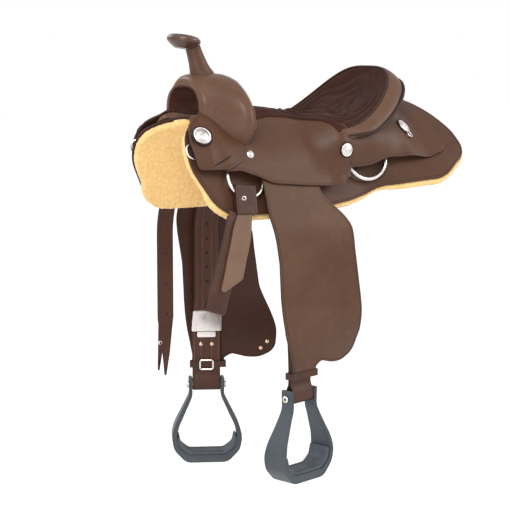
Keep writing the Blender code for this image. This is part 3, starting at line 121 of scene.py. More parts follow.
def cover_height(x):
    """Underside of the jockeys: on the bars, and on the skirt beyond their tips."""
    return COVER_LOW + (COVER_HIGH - COVER_LOW) * ease((x + 0.290) / 0.060) * ease((0.255 - x) / 0.060)


def point_raise(x, s):
    """Lift of the jockeys over the points of the cantle."""
    along = ease((x + 0.052) / 0.086) ** 1.6 * ease((0.235 - x) / 0.130)
    return 0.033 * along * ease((s - 0.020) / 0.075) * ease((0.165 - s) / 0.060)


def rear_height(x, s):
    """Underside of the rear jockeys."""
    return cover_height(x) + point_raise(x, s)


def seat_height(x, s):
    """Underside of the seat jockeys, which lap over the rear ones by their thickness and a little room."""
    return cover_height(x) + point_raise(x, s) + (JOCKEY + LAP_ROOM) * ease(x / 0.034)


def front_height(x, s):
    """Underside of the front jockeys, which climb over the front end of the seat jockeys."""
    return np.maximum(cover_height(x), COVER_LOW + 0.0075) + (JOCKEY + LAP_ROOM) * ease((x + 0.300) / 0.044)


def jockey_top(x, y, height):
    """Height of a jockey's top at a place in plan, found by halving the run down the side."""
    x, y = np.broadcast_arrays(np.asarray(x, float), np.abs(np.asarray(y, float)))
    low, high = np.zeros(x.shape), np.full(x.shape, 0.220)
    for _ in range(28):
        s = (low + high) / 2
        inside = form(x, s, height(x, s) + JOCKEY, 1)[..., 1] < y
        low, high = np.where(inside, s, low), np.where(inside, high, s)
    return form(x, low, height(x, low) + JOCKEY, 1)[..., 2], low


# %% [markdown]
# ## Outlines and meshes
# A panel of leather is cut to its outline, laid on a form, and given rounded edges. Each vertex keeps its
# distance from the cut edge, in millimetres, and the materials draw creases, worn edges and the horn cap's
# painted highlight from it.

# %%
def outline(points, pitch=0.0035):
    """Closed outline through corners (u, v, radius), each an arc tangent to its edges, in even steps."""
    dense = []
    for i, (u, v, radius) in enumerate(points):
        here = Vector((u, v))
        before = Vector(points[i - 1][:2]) - here
        after = Vector(points[(i + 1) % len(points)][:2]) - here
        turn = pi - before.angle(after)
        if turn < 1e-3 or radius <= 0.0:
            dense.append(here)
            continue
        reach = min(radius * tan(turn / 2), 0.49 * before.length, 0.49 * after.length)
        true_radius = reach / tan(turn / 2)
        before, after = before.normalized(), after.normalized()
        centre = here + (before + after).normalized() * (true_radius / cos(turn / 2))
        first, last = here + before * reach - centre, here + after * reach - centre
        a0 = atan2(first.y, first.x)
        sweep = (atan2(last.y, last.x) - a0 + pi) % (2 * pi) - pi
        steps = max(2, round(turn / radians(8)))
        dense += [centre + true_radius * Vector((cos(a0 + sweep * k / steps), sin(a0 + sweep * k / steps)))
                  for k in range(steps + 1)]
    return even(np.array([tuple(p) for p in dense]), pitch, True)


def even(points, pitch, closed=False):
    """Points moved along their own line to even steps."""
    points = np.asarray(points, float)
    if closed:
        points = np.vstack([points, points[:1]])
    run = np.concatenate([[0.0], np.cumsum(np.linalg.norm(np.diff(points, axis=0), axis=1))])
    count = max(3, int(round(run[-1] / pitch)))
    at = np.linspace(0.0, run[-1], count + 1)
    made = np.stack([np.interp(at, run, points[:, k]) for k in range(points.shape[1])], -1)
    return made[:-1] if closed else made


def spline(points, count):
    """Smooth line through points, each span a cubic whose ends lean on the neighbours."""
    p = np.asarray(points, float)
    p = np.vstack([2 * p[0] - p[1], p, 2 * p[-1] - p[-2]])
    at = np.linspace(0.0, len(p) - 3, count)
    i = np.minimum(at.astype(int), len(p) - 4)
    t = (at - i)[:, None]
    a, b, c, d = p[i], p[i + 1], p[i + 2], p[i + 3]
    square, cube = 2 * a - 5 * b + 4 * c - d, 3 * b - a - 3 * c + d
    return 0.5 * (2 * b + (c - a) * t + square * t ** 2 + cube * t ** 3)


def inward(line, distance):
    """A closed outline moved inwards by a distance."""
    area = np.sum(line[:, 0] * np.roll(line[:, 1], -1) - np.roll(line[:, 0], -1) * line[:, 1])
    along = np.roll(line, -1, 0) - np.roll(line, 1, 0)
    along /= np.linalg.norm(along, axis=1)[:, None]
    normal = np.stack([-along[:, 1], along[:, 0]], -1) * np.sign(area)
    return line + normal * distance


def edge_distance(points, line):
    """Shortest distance from each point to a closed outline."""
    a, b = line, np.roll(line, -1, 0)
    run = b - a
    best = np.full(len(points), 1e9)
    for start in range(0, len(points), 2000):
        p = points[start:start + 2000, None, :]
        t = np.clip(((p - a) * run).sum(-1) / (run * run).sum(-1), 0.0, 1.0)
        best[start:start + 2000] = np.linalg.norm(p - a - run * t[..., None], axis=-1).min(1)
    return best


def write_values(mesh, name, values):
    """Keeps one number for each vertex under a name that the materials read."""
    kept = mesh.attributes.new(name, 'FLOAT', 'POINT')
    kept.data.foreach_set("value", np.asarray(values, np.float32).ravel())


def new_mesh(name, verts, faces, mat, edge=None, smooth=35):
    """Object from numpy points and faces, with the distance of each point from the cut edge."""
    mesh = bpy.data.meshes.new(name)
    mesh.from_pydata([tuple(v) for v in np.asarray(verts, float)], [], [tuple(map(int, f)) for f in faces])
    edge = np.full(len(verts), 0.020) if edge is None else edge
    write_values(mesh, "edge", 1000 * np.asarray(edge, np.float32))
    bm = bmesh.new()
    bm.from_mesh(mesh)
    bmesh.ops.recalc_face_normals(bm, faces=bm.faces)
    bm.to_mesh(mesh)
    bm.free()
    mesh.materials.append(mat)
    mesh.shade_smooth()
    if smooth:
        mesh.set_sharp_from_angle(angle=radians(smooth))
    obj = bpy.data.objects.new(name, mesh)
    bpy.context.scene.collection.objects.link(obj)
    return obj


def laid(obj, body, *nodes):
    """Puts a finished piece on its body, in place of the frame's plain pieces."""
    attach(obj, body)
    if nodes:
        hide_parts(*nodes)


def flat_cut(line, insets, cell):
    """Flat mesh of an outline: rings along the edge, cells inside. Returns points, faces and rim edges."""
    bm = bmesh.new()
    rings = [[bm.verts.new((u, v, 0.0)) for u, v in inward(line, d)] for d in insets]
    n = len(line)
    for a, b in zip(rings, rings[1:]):
        for k in range(n):
            bm.faces.new((a[k], a[(k + 1) % n], b[(k + 1) % n], b[k]))
    middle = bm.faces.new(rings[-1])
    bmesh.ops.triangulate(bm, faces=[middle])
    for k, normal in ((0, Vector((1, 0, 0))), (1, Vector((0, 1, 0)))):
        low, high = line[:, k].min(), line[:, k].max()
        for value in np.arange(low + cell / 2, high - cell / 4, cell):
            bmesh.ops.bisect_plane(bm, geom=bm.verts[:] + bm.edges[:] + bm.faces[:], dist=1e-6,
                                   plane_co=normal * float(value), plane_no=normal)
    bmesh.ops.triangulate(bm, faces=[f for f in bm.faces if len(f.verts) > 4])
    bm.verts.index_update()
    points = np.array([(v.co.x, v.co.y) for v in bm.verts])
    faces = [[v.index for v in f.verts] for f in bm.faces]
    rim = [[v.index for v in e.verts] for e in bm.edges if len(e.link_faces) == 1]
    bm.free()
    return points, faces, rim


def walled(flat, faces, rim_edges):
    """Faces of a slab: the flat cut above, the same cut turned over below, and a wall round the rim."""
    n = len(flat)
    every = [list(f) for f in faces] + [[n + i for i in reversed(f)] for f in faces]
    return every + [[a, b, b + n, a + n] for a, b in rim_edges]


def panel(name, mat, line, inner, outer, place, cell=0.009, round_edge=0.0016, drop=None):
    """Panel of an outline between two heights. At its edge the height falls along a quarter circle."""
    insets = (0.0, round_edge * 0.12, round_edge * 0.45, round_edge, round_edge + 0.003)
    flat, faces, rim = flat_cut(line, insets, cell)
    if drop is not None:
        faces = [f for f in faces if not drop(flat[f].mean(0))]
    d = edge_distance(flat, line)
    fall = round_edge * (1.0 - np.sqrt(np.maximum(1.0 - (1.0 - np.minimum(d / round_edge, 1.0)) ** 2, 0.0)))
    high, low = outer(flat[:, 0], flat[:, 1]), inner(flat[:, 0], flat[:, 1])
    fall = np.minimum(fall, (high - low) * 0.48)
    top = place(flat[:, 0], flat[:, 1], high - fall)
    bottom = place(flat[:, 0], flat[:, 1], low + fall * 0.8)
    return new_mesh(name, np.vstack([top, bottom]), walled(flat, faces, rim), mat, np.concatenate([d, d]))


def grid(name, mat, rows, closed=False, caps=False, edge=None, smooth=35):
    """Surface through rows of points; closed joins the last point of a row to the first."""
    rows = np.asarray(rows, float)
    m, n = rows.shape[:2]
    faces = []
    for i in range(m - 1):
        for k in range(n if closed else n - 1):
            beside = (k + 1) % n
            faces.append((i * n + k, i * n + beside, (i + 1) * n + beside, (i + 1) * n + k))
    if caps:
        for base in (0, (m - 1) * n):
            for k in range((n - 1) // 2):
                corners = dict.fromkeys((base + k, base + k + 1, base + n - 2 - k, base + n - 1 - k))
                if len(corners) > 2:
                    faces.append(tuple(corners))
    return new_mesh(name, rows.reshape(-1, 3), faces, mat, edge, smooth)


def tube(name, mat, points, radius, closed=False, sides=12):
    """Round rod along points, its rings carried along without twisting."""
    p = np.asarray(points, float)
    along = np.roll(p, -1, 0) - np.roll(p, 1, 0) if closed else np.gradient(p, axis=0)
    along /= np.linalg.norm(along, axis=1)[:, None]
    side = np.cross(along[0], [0.0, 0.0, 1.0])
    if np.linalg.norm(side) < 0.1:
        side = np.cross(along[0], [1.0, 0.0, 0.0])
    rows, radius = [], np.broadcast_to(radius, (len(p),))
    for k in range(len(p)):
        side = side - along[k] * (side @ along[k])
        side /= np.linalg.norm(side)
        up = np.cross(along[k], side)
        a = np.arange(sides) * 2 * pi / sides
        rows.append(p[k] + radius[k] * (np.outer(np.cos(a), side) + np.outer(np.sin(a), up)))
    if closed:
        rows.append(rows[0])
    return grid(name, mat, rows, True, not closed)


def turned(name, mat, profile, matrix, steps=48, wave=None):
    """Round solid about local Z from (radius, z) points; wave moves each point by radius and angle."""
    a = np.arange(steps) * 2 * pi / steps
    rows = []
    for radius, z in profile:
        r, height = np.full(steps, radius), np.full(steps, z)
        if wave is not None:
            r, height = wave(r, height, a)
        local = np.stack([r * np.cos(a), r * np.sin(a), height], -1)
        rows.append(moved(local, matrix))
    return grid(name, mat, rows, True, False, smooth=30)


def moved(points, matrix):
    """Points under a 4 by 4 matrix."""
    m = np.array(matrix)
    return np.asarray(points, float) @ m[:3, :3].T + m[:3, 3]


def frame_at(point, normal, along=(1.0, 0.0, 0.0)):
    """Matrix whose Z is the normal and whose X lies along the given direction."""
    z = Vector(normal).normalized()
    x = (Vector(along) - Vector(along).dot(z) * z).normalized()
    matrix = Matrix((x, z.cross(x), z)).transposed().to_4x4()
    matrix.translation = Vector(point)
    return matrix


def sampled(points, run, at):
    """Points along a line at the given runs of its length."""
    return np.stack([np.interp(at, run, np.asarray(points)[:, k]) for k in range(3)], -1)


def stitches(name, mat, body, lines, pitch=0.0042, length=0.0030, radius=0.00055, lift=0.0002):
    """Rows of sewn stitches: short flat beads of thread along each line of (points, normals)."""
    verts, faces = [], []
    shape = [(-0.5, 0.0, -0.5), (-0.36, 0.8, 0.55), (0.36, 0.8, 0.55), (0.5, 0.0, -0.5),
             (-0.36, -0.8, 0.55), (0.36, -0.8, 0.55)]
    quads = [(0, 1, 2, 3), (0, 3, 5, 4), (1, 4, 5, 2), (0, 4, 1), (3, 2, 5)]
    for points, normals in lines:
        p = np.asarray(points, float)
        run = np.concatenate([[0.0], np.cumsum(np.linalg.norm(np.diff(p, axis=0), axis=1))])
        at = np.arange(pitch / 2, run[-1], pitch)
        along = sampled(p, run, at + 0.001) - sampled(p, run, at - 0.001)
        above = sampled(normals, run, at)
        along /= np.linalg.norm(along, axis=1)[:, None]
        above /= np.linalg.norm(above, axis=1)[:, None]
        across = np.cross(above, along)
        for c, a, b, up in zip(sampled(p, run, at), along, across, above):
            base = len(verts)
            verts += [c + a * (x * length) + b * (y * radius) + up * (z * radius + lift)
                      for x, y, z in shape]
            faces += [tuple(base + i for i in f) for f in quads]
    laid(new_mesh(name, verts, faces, mat, smooth=60), body)


def on_surface(flat, place, height):
    """Points and outward normals of a line of flat places on a laid surface."""
    flat = np.asarray(flat, float)
    h = height(flat[:, 0], flat[:, 1])
    here, above = place(flat[:, 0], flat[:, 1], h), place(flat[:, 0], flat[:, 1], h + 0.002)
    return here, above - here


# %% [markdown]
# ## Materials
# A socket class lets the shader sums read like sums. Each material varies its colour, roughness and relief.

# %%
class Socket:
    """A shader value that can be added, multiplied and compared like a number."""

    def __init__(self, tree, out):
        self.tree, self.out = tree, out

    def math(self, operation, other=0.0):
        node = self.tree.nodes.new("ShaderNodeMath")
        node.operation = operation
        for k, value in enumerate((self, other)):
            plug(self.tree, value, node.inputs[k])
        return Socket(self.tree, node.outputs[0])

    def __add__(self, other):
        return self.math('ADD', other)

    def __sub__(self, other):
        return self.math('SUBTRACT', other)

    def __mul__(self, other):
        return self.math('MULTIPLY', other)

    def near(self, value, width):
        """1 at the value, falling to 0 at the width on either side."""
        return (self - value).math('ABSOLUTE').ramp(0.0, width, 1.0, 0.0)

    def ramp(self, low, high, to_low=0.0, to_high=1.0):
        """Smooth rise from one value to another between low and high."""
        node = self.tree.nodes.new("ShaderNodeMapRange")
        node.interpolation_type = 'SMOOTHSTEP'
        plug(self.tree, self, node.inputs["Value"])
        for key, number in (("From Min", low), ("From Max", high), ("To Min", to_low), ("To Max", to_high)):
            node.inputs[key].default_value = number
        return Socket(self.tree, node.outputs[0])


def plug(tree, value, socket):
    """Joins a shader value to a socket, or sets the socket to a number or colour."""
    if isinstance(value, Socket):
        tree.links.new(value.out, socket)
    else:
        socket.default_value = value


class Paint:
    """One material under construction."""

    def __init__(self, name, roughness=0.5, metallic=0.0):
        self.material = bpy.data.materials.new(name)
        self.material.use_nodes = True
        self.tree = self.material.node_tree
        self.shader = self.tree.nodes["Principled BSDF"]
        self.shader.inputs["Roughness"].default_value = roughness
        self.shader.inputs["Metallic"].default_value = metallic
        place = self.tree.nodes.new("ShaderNodeTexCoord")
        self.place = Socket(self.tree, place.outputs["Object"])

    def node(self, kind, **inputs):
        """Makes a node, fills its inputs by name and returns its first output."""
        made = self.tree.nodes.new(kind)
        for key, value in inputs.items():
            plug(self.tree, value, made.inputs[key])
        return Socket(self.tree, made.outputs[0])

    def noise(self, scale, detail=3.0, rough=0.55):
        return self.node("ShaderNodeTexNoise", Vector=self.place, Scale=scale, Detail=detail,
                         Roughness=rough)

    def cells(self, scale):
        return self.node("ShaderNodeTexVoronoi", Vector=self.place, Scale=scale)

    def number(self, value):
        """The same number everywhere on the piece."""
        made = self.node("ShaderNodeValue")
        made.out.default_value = value
        return made

    def attribute(self, name):
        node = self.tree.nodes.new("ShaderNodeAttribute")
        node.attribute_name = name
        return Socket(self.tree, node.outputs["Fac"])

    def mix(self, share, a, b):
        """Colour a where share is 0 and colour b where it is 1."""
        node = self.tree.nodes.new("ShaderNodeMix")
        node.data_type = 'RGBA'
        plug(self.tree, share, node.inputs[0])
        for value, socket in ((a, node.inputs[6]), (b, node.inputs[7])):
            plug(self.tree, value if isinstance(value, Socket) else rgb(value), socket)
        return Socket(self.tree, node.outputs[2])

    def finish(self, colour, roughness=None, relief=None, depth=0.001, strength=1.0):
        """Joins colour, roughness and relief to the shader, and returns the material."""
        plug(self.tree, colour, self.shader.inputs["Base Color"])
        if roughness is not None:
            plug(self.tree, roughness, self.shader.inputs["Roughness"])
        if relief is not None:
            bump = self.tree.nodes.new("ShaderNodeBump")
            bump.inputs["Distance"].default_value = depth
            bump.inputs["Strength"].default_value = strength
            plug(self.tree, relief, bump.inputs["Height"])
            self.tree.links.new(bump.outputs[0], self.shader.inputs["Normal"])
        return self.material


def rgb(colour):
    """Linear colour from 0 to 255 screen values."""
    c = np.array(colour[:3], float) / 255.0
    c = np.where(c <= 0.04045, c / 12.92, ((c + 0.055) / 1.055) ** 2.4)
    return (*[float(v) for v in c], 1.0)


def leather(name, main, shade, light, roughness=0.46, pores=0.5, line=4.6, edge_colour=(44, 26, 20),
            edged=True):
    """Oiled leather: mottled colour, fine pores, a crease along the edge and a dark rubbed cut edge."""
    p = Paint(name)
    edge = p.attribute("edge") if edged else p.number(20.0)
    cloud, fine = p.noise(9.0, 4.0), p.noise(70.0, 3.0)
    colour = p.mix(cloud.ramp(0.25, 0.75), shade, main)
    colour = p.mix(fine.ramp(0.45, 0.85) * 0.22, colour, light)
    crease = edge.near(line, 0.9)
    cut_edge = edge.ramp(0.1, 1.1, 1.0, 0.0)
    colour = p.mix(crease * 0.55, colour, edge_colour)
    colour = p.mix(cut_edge * 0.85, colour, edge_colour)
    grain = p.cells(1300.0).ramp(0.0, 0.75)
    relief = grain * (0.10 * pores) + p.noise(420.0, 2.0) * (0.12 * pores) + fine * 0.10 - crease * 0.62
    rough = cloud.ramp(0.3, 0.7, roughness - 0.03, roughness + 0.04) + crease * 0.12
    p.shader.inputs["Specular IOR Level"].default_value = 0.24
    return p.finish(colour, rough, relief, 0.0006, 0.7)


def suede():
    """Dark nap that hardly shines, with painted shade darkening the quilted grooves."""
    p = Paint("seat suede")
    nap, cloud = p.noise(900.0, 2.0), p.noise(14.0, 4.0)
    colour = p.mix(cloud.ramp(0.35, 0.65), (52, 30, 24), (62, 37, 30))
    # Painted shade: the quilted grooves are darkened towards (36, 20, 16).
    colour = p.mix(p.attribute("groove_and_shade") * 0.35, colour, (36, 20, 16))
    p.shader.inputs["Specular IOR Level"].default_value = 0.05
    p.shader.inputs["Sheen Weight"].default_value = 0.04
    return p.finish(colour, cloud.ramp(0.3, 0.7, 0.92, 0.98), nap * 0.6 + p.noise(160.0) * 0.4, 0.0007, 0.8)


def fleece():
    """Golden wool: tufts of two tones, with painted shade in the hollows between them."""
    p = Paint("fleece")
    curl, tuft = p.cells(330.0), p.noise(120.0, 4.0, 0.65)
    colour = p.mix(tuft.ramp(0.30, 0.70), (226, 186, 122), (240, 206, 144))
    # Painted shade: the hollows between the tufts are darkened towards (220, 172, 104).
    colour = p.mix(curl.ramp(0.15, 0.6) * 0.15, colour, (220, 172, 104))
    p.shader.inputs["Specular IOR Level"].default_value = 0.1
    p.shader.inputs["Sheen Weight"].default_value = 0.25
    return p.finish(colour, tuft.ramp(0.3, 0.7, 0.94, 1.0), tuft * 0.8 - curl * 0.5, 0.0010, 0.40)


def wood():
    # Tree wood: grain in two browns, darkened as painted shade for where the tree shows under the gullet.
    p = Paint("tree wood")
    rings = p.noise(30.0)
    return p.finish(p.mix(rings.ramp(0.3, 0.7), (86, 58, 40), (104, 74, 54)), 0.6, rings, 0.0004)


def composite():
    """Blue grey moulded stirrup with a fine grain."""
    p = Paint("stirrup composite")
    grain = p.noise(600.0, 2.0)
    colour = p.mix(p.noise(12.0).ramp(0.3, 0.7), (52, 58, 64), (62, 68, 75))
    return p.finish(colour, grain.ramp(0.3, 0.7, 0.42, 0.52), grain, 0.0003, 0.6)


def rubber():
    p = Paint("tread rubber")
    colour = p.mix(p.noise(40.0).ramp(0.3, 0.7), (58, 64, 72), (72, 78, 86))
    return p.finish(colour, 0.72, p.noise(500.0), 0.0003)


def steel():
    """Bright plating, dull and brown where its age says so."""
    p = Paint("plated metal", 0.2, 1.0)
    wear, age = p.noise(60.0), p.attribute("age")
    colour = p.mix(age * 0.35, (226, 219, 215), (150, 134, 126))
    return p.finish(colour, wear.ramp(0.3, 0.7, 0.24, 0.34) + age * 0.2, p.noise(180.0), 0.00005, 0.3)


def copper():
    p = Paint("copper rivets", 0.35, 1.0)
    return p.finish(p.mix(p.noise(300.0), (226, 196, 172), (208, 172, 146)), 0.30, p.noise(400.0), 0.0001)


def thread(name, light, dark, roughness):
    p = Paint(name, 0.7)
    return p.finish(p.mix(p.noise(800.0), light, dark), roughness, p.noise(2500.0), 0.0002)


def hole():
    # Painted shade: dark discs and slots laid where a hole, socket or slot would show only shadow.
    p = Paint("shadowed hole", 0.9)
    return p.finish(p.mix(p.noise(300.0), (22, 14, 12), (30, 20, 17)), 0.9, p.noise(900.0), 0.0002)


def cap_leather():
    """Polished leather of the horn cap, with a painted highlight along its rim."""
    p = Paint("horn cap leather", 0.25)
    cloud, edge = p.noise(40.0), p.attribute("edge")
    colour = p.mix(cloud.ramp(0.3, 0.7), (66, 42, 33), (80, 54, 43))
    # Painted highlight: a pale band within 1.6 mm of the cap's rim, towards (112, 90, 78).
    colour = p.mix(edge.ramp(0.0, 1.6, 0.5, 0.0), colour, (112, 90, 78))
    relief = p.noise(700.0) * 0.3 + cloud * 0.2
    return p.finish(colour, cloud.ramp(0.3, 0.7, 0.24, 0.30), relief, 0.0003, 0.4)


# Each leather holds its name, main colour, shade, light and roughness, then what differs from the others.
LEATHERS = {
    "leather": ("saddle leather", (78, 50, 35), (70, 43, 30), (96, 66, 50), 0.46, {}),
    "seat": ("jockey leather", (82, 54, 38), (75, 48, 34), (100, 72, 55), 0.42, {}),
    "fender": ("fender leather", (88, 60, 43), (76, 49, 34), (104, 76, 58), 0.44, {}),
    "cover": ("swell leather", (94, 67, 51), (86, 59, 44), (114, 88, 72), 0.36, {"line": 3.0}),
    # Flesh side of the fenders: rougher with coarser pores, and darker as painted shade.
    "inner": ("flesh side leather", (62, 36, 25), (52, 29, 20), (80, 50, 38), 0.62, {"pores": 1.2}),
    "strap": ("strap leather", (74, 45, 33), (66, 38, 27), (92, 62, 48), 0.48, {"line": 3.4}),
    "latigo": ("latigo leather", (74, 49, 39), (62, 38, 30), (104, 78, 66), 0.44, {"line": 50.0}),
    "pale": ("flesh side of the latigo", (112, 87, 72), (102, 77, 63), (126, 102, 88), 0.66,
             {"pores": 1.2, "line": 50.0, "edge_colour": (78, 54, 45)}),
    "gullet": ("gullet leather", (72, 38, 27), (58, 30, 22), (92, 54, 42), 0.5, {}),
    "wrap": ("horn wrap leather", (86, 60, 46), (78, 53, 40), (106, 80, 66), 0.40, {}),
    "piping": ("binding leather", (52, 31, 23), (43, 25, 18), (70, 46, 37), 0.46, {}),
    "rosette": ("rosette leather", (44, 27, 21), (34, 21, 16), (60, 41, 33), 0.5, {}),
    "plain dark": ("hobble leather", (70, 44, 33), (60, 36, 26), (88, 60, 48), 0.5, {"edged": False}),
    "plain strap": ("rigging leather", (78, 52, 39), (68, 43, 32), (96, 70, 56), 0.5, {"edged": False})}
MAT = {key: leather(*row, **more) for key, (*row, more) in LEATHERS.items()}
MAT["suede"] = suede()
MAT["fleece"] = fleece()
MAT["wood"] = wood()
MAT["composite"] = composite()
MAT["rubber"] = rubber()
MAT["steel"] = steel()
MAT["copper"] = copper()
MAT["thread"] = thread("dark thread", (66, 44, 36), (52, 34, 28), 0.75)
MAT["pale thread"] = thread("light thread", (140, 112, 92), (120, 94, 76), 0.7)
MAT["hole"] = hole()
MAT["cap"] = cap_leather()

# %% [markdown]
# ## Skirts, fleece and jockeys
# Skirts lie on a wool fleece that shows a little below them; the jockeys lie on the tree above.

# %%
def on_form(side):
    """Where (x, s, h) lies on one side's form."""
    return lambda x, s, h: form(x, s, h, side)


def level(value):
    """The same height everywhere."""
    return lambda x, s: np.full(np.shape(x), value)


def skirt_line(pitch=0.0035):
    """Outline of a skirt: round in front, a waist in its lower edge, and a rounded tail."""
    front, rear, low, waist, tail = -0.304, 0.343, 0.225, 0.192, 0.229
    return outline([
        (front + 0.072, 0.014, 0.004), (front, 0.085, 0.060), (front, 0.140, 0.080),
        (front + 0.052, low, 0.060), (-0.060, low, 0.120), (0.060, low - 0.014, 0.090),
        (0.140, waist, 0.070), (0.272, tail + 0.006, 0.045), (rear + 0.004, 0.190, 0.050),
        (rear - 0.002, 0.135, 0.060), (rear - 0.042, 0.014, 0.004),
        (0.240, 0.014, 0.020), (0.205, 0.040, 0.020), (-0.200, 0.040, 0.020), (-0.218, 0.014, 0.010)], pitch)


# Corners of the jockeys: x, run down the side, and the radius of the corner.
SEAT_JOCKEY = [
    (-0.243, 0.030, 0.004), (-0.243, 0.146, 0.008), (-0.205, 0.143, 0.040), (-0.172, 0.153, 0.040),
    (-0.135, 0.170, 0.060), (-0.060, 0.178, 0.200), (0.034, 0.184, 0.022), (0.046, 0.160, 0.030),
    (0.051, 0.132, 0.030), (0.052, 0.094, 0.008), (0.030, 0.084, 0.020), (0.006, 0.062, 0.040),
    (-0.040, 0.036, 0.060), (-0.130, 0.030, 0.030)]
FRONT_JOCKEY = [
    (-0.243, 0.034, 0.010), (-0.290, 0.068, 0.030), (-0.300, 0.100, 0.040), (-0.293, 0.148, 0.012),
    (-0.236, 0.144, 0.010), (-0.206, 0.132, 0.014), (-0.192, 0.112, 0.012), (-0.178, 0.088, 0.010),
    (-0.178, 0.040, 0.006)]
REAR_JOCKEY = [
    (0.046, 0.090, 0.006), (0.046, 0.149, 0.006), (0.150, 0.147, 0.080), (0.250, 0.184, 0.030),
    (0.296, 0.182, 0.022), (0.298, 0.150, 0.040), (0.288, 0.085, 0.040), (0.262, 0.016, 0.006),
    (0.190, 0.016, 0.010)]


def curls(points, scale, seed):
    """Lumpy wool: sums of waves in many directions, sharpened into tufts, from 0 to 1."""
    rng = np.random.default_rng(seed)
    total = np.zeros(len(points))
    for _ in range(26):
        wave = rng.normal(size=2)
        wave *= scale * rng.uniform(0.5, 1.9) / np.linalg.norm(wave)
        total += np.sin(points @ wave + rng.uniform(0, 2 * pi))
    return np.abs(np.tanh(total / 4.2))


def make_fleece(name, side):
    """Wool panel raised into curls: short of the skirt's edge in front, past it below and behind."""
    line = skirt_line(0.0030)
    away = np.clip(line - inward(line, 0.001), -0.001, 0.001) / 0.001
    reach = np.where(line[:, 1] < 0.030, 0.0046, -0.0070 + 0.0152 * ease((line[:, 1] - 0.160) / 0.050))
    line = line + away * np.maximum(reach, 0.0062 * ease((line[:, 0] - 0.20) / 0.06))[:, None]
    flat, faces, rim = flat_cut(line, (0.0, 0.0015, 0.004), 0.0036)
    d = edge_distance(flat, line)
    tuft = curls(flat, 900.0, 3) * 0.55 + curls(flat + 5.0, 1700.0, 4) * 0.45
    bulge = np.sqrt(np.clip(1.0 - (1.0 - np.minimum(d / 0.006, 1.0)) ** 2, 0.0, 1.0))
    out = FLEECE_OUT - 0.0004 - 0.0050 * (1 - bulge) - 0.0004 * (1.0 - tuft)
    low = 0.0055 * (1 - bulge) + 0.0010 * (1.0 - tuft)
    wander = np.stack([curls(flat + 9.0, 800.0, 5), curls(flat - 7.0, 800.0, 6)], -1) - 0.5
    at = flat + wander * 0.0012
    verts = np.vstack([form(at[:, 0], at[:, 1], out, side), form(at[:, 0], at[:, 1], low, side)])
    wool = new_mesh(f"wool_{name}", verts, walled(flat, faces, rim), MAT["fleece"], smooth=0)
    laid(wool, "saddle", f"fleece_{name}")


def seam(name, line, inset, place, height, body, mat, keep):
    """Sewn row inside an outline, on a laid surface, where keep holds for four points or more."""
    row = inward(line, inset)
    row = np.vstack([row, row[:1]])
    runs = [[]]
    for x, s in row:
        if keep(x, s):
            runs[-1].append((x, s))
        elif runs[-1]:
            runs.append([])
    stitches(name, mat, body, [on_surface(run, place, height) for run in runs if len(run) > 3])


# %% [markdown]
# ## Fork and horn
# The swell is one cover pulled over the fork: a section swept from front to rear and turned in round the
# gullet.

# %%
# Stations hold x, the share of the swell's full width, and how far the section lies inside the full one.
STATIONS = np.array([
    (-0.247, 0.47, 0.010), (-0.242, 0.51, 0.003), (-0.222, 0.68, 0.0), (-0.207, 0.84, 0.0),
    (-0.192, 0.97, 0.0), (-0.178, 1.00, 0.0), (-0.166, 0.98, 0.005), (-0.161, 0.93, 0.014)])
SWELL = np.array([
    (0.0, 0.134), (0.030, 0.1325), (0.058, 0.127), (0.082, 0.118), (0.103, 0.104), (0.120, 0.088),
    (0.133, 0.070), (0.140, 0.050), (0.141, 0.032), (0.133, 0.014), (0.118, -0.004), (0.108, -0.030)])
GULLET = np.array([
    (0.0, 0.108), (0.012, 0.1077), (0.024, 0.1058), (0.034, 0.102), (0.042, 0.0955), (0.048, 0.0875),
    (0.0515, 0.078), (0.053, 0.067), (0.054, 0.052), (0.054, 0.032), (0.054, 0.005), (0.054, -0.030)])


def offset_section(section, distance):
    """Half section moved along its outward normals; the point on the centre line stays there."""
    full = np.vstack([section[1] * (-1, 1), section, 2 * section[-1] - section[-2]])
    along = full[2:] - full[:-2]
    along /= np.linalg.norm(along, axis=1)[:, None]
    made = section + np.stack([-along[:, 1], along[:, 0]], -1) * distance
    made[0, 0] = 0.0
    return made


def whole(half, count):
    """Both halves of a section in even steps, from the near foot over the top to the off foot."""
    smooth = spline(np.vstack([half[:0:-1] * (-1, 1), half]), 8 * count)
    return even(smooth, np.sum(np.linalg.norm(np.diff(smooth, axis=0), axis=1)) / (count - 1))


def swell_at(x):
    """Half section of the swell at x: widths and depths eased between the stations."""
    width, drop = np.interp(x, STATIONS[:, 0], STATIONS[:, 1]), np.interp(x, STATIONS[:, 0], STATIONS[:, 2])
    arch = offset_section(GULLET, 0.0028)
    half = offset_section(SWELL, -drop)
    floor = np.interp(half[:, 1], arch[::-1, 1], arch[::-1, 0]) + 0.0095
    half[:, 0] = np.where(half[:, 0] > 0.05, np.maximum(half[:, 0] * width, floor), half[:, 0] * width)
    return footed(half, x)


def footed(half, x):
    """A half section whose foot stops on the tree's bar, 23 mm out from the side form."""
    ground = jockey_top(x, half[:, 0], lambda u, v: np.full(np.shape(v), 0.0185))[0]
    made = half.copy()
    made[:, 1] = np.where(half[:, 1] < 0.075, np.maximum(half[:, 1], ground), half[:, 1])
    return made


def inside_fork(x, y, z):
    """How deep a point lies inside the fork, in plan; negative outside."""
    if not STATIONS[0, 0] < x < STATIONS[-1, 0]:
        return -1.0
    half = swell_at(x)
    reach = np.interp(z, half[::-1, 1], half[::-1, 0])
    return min(reach - abs(y), (x - STATIONS[0, 0]) * 2.0, (STATIONS[-1, 0] - x) * 2.0)


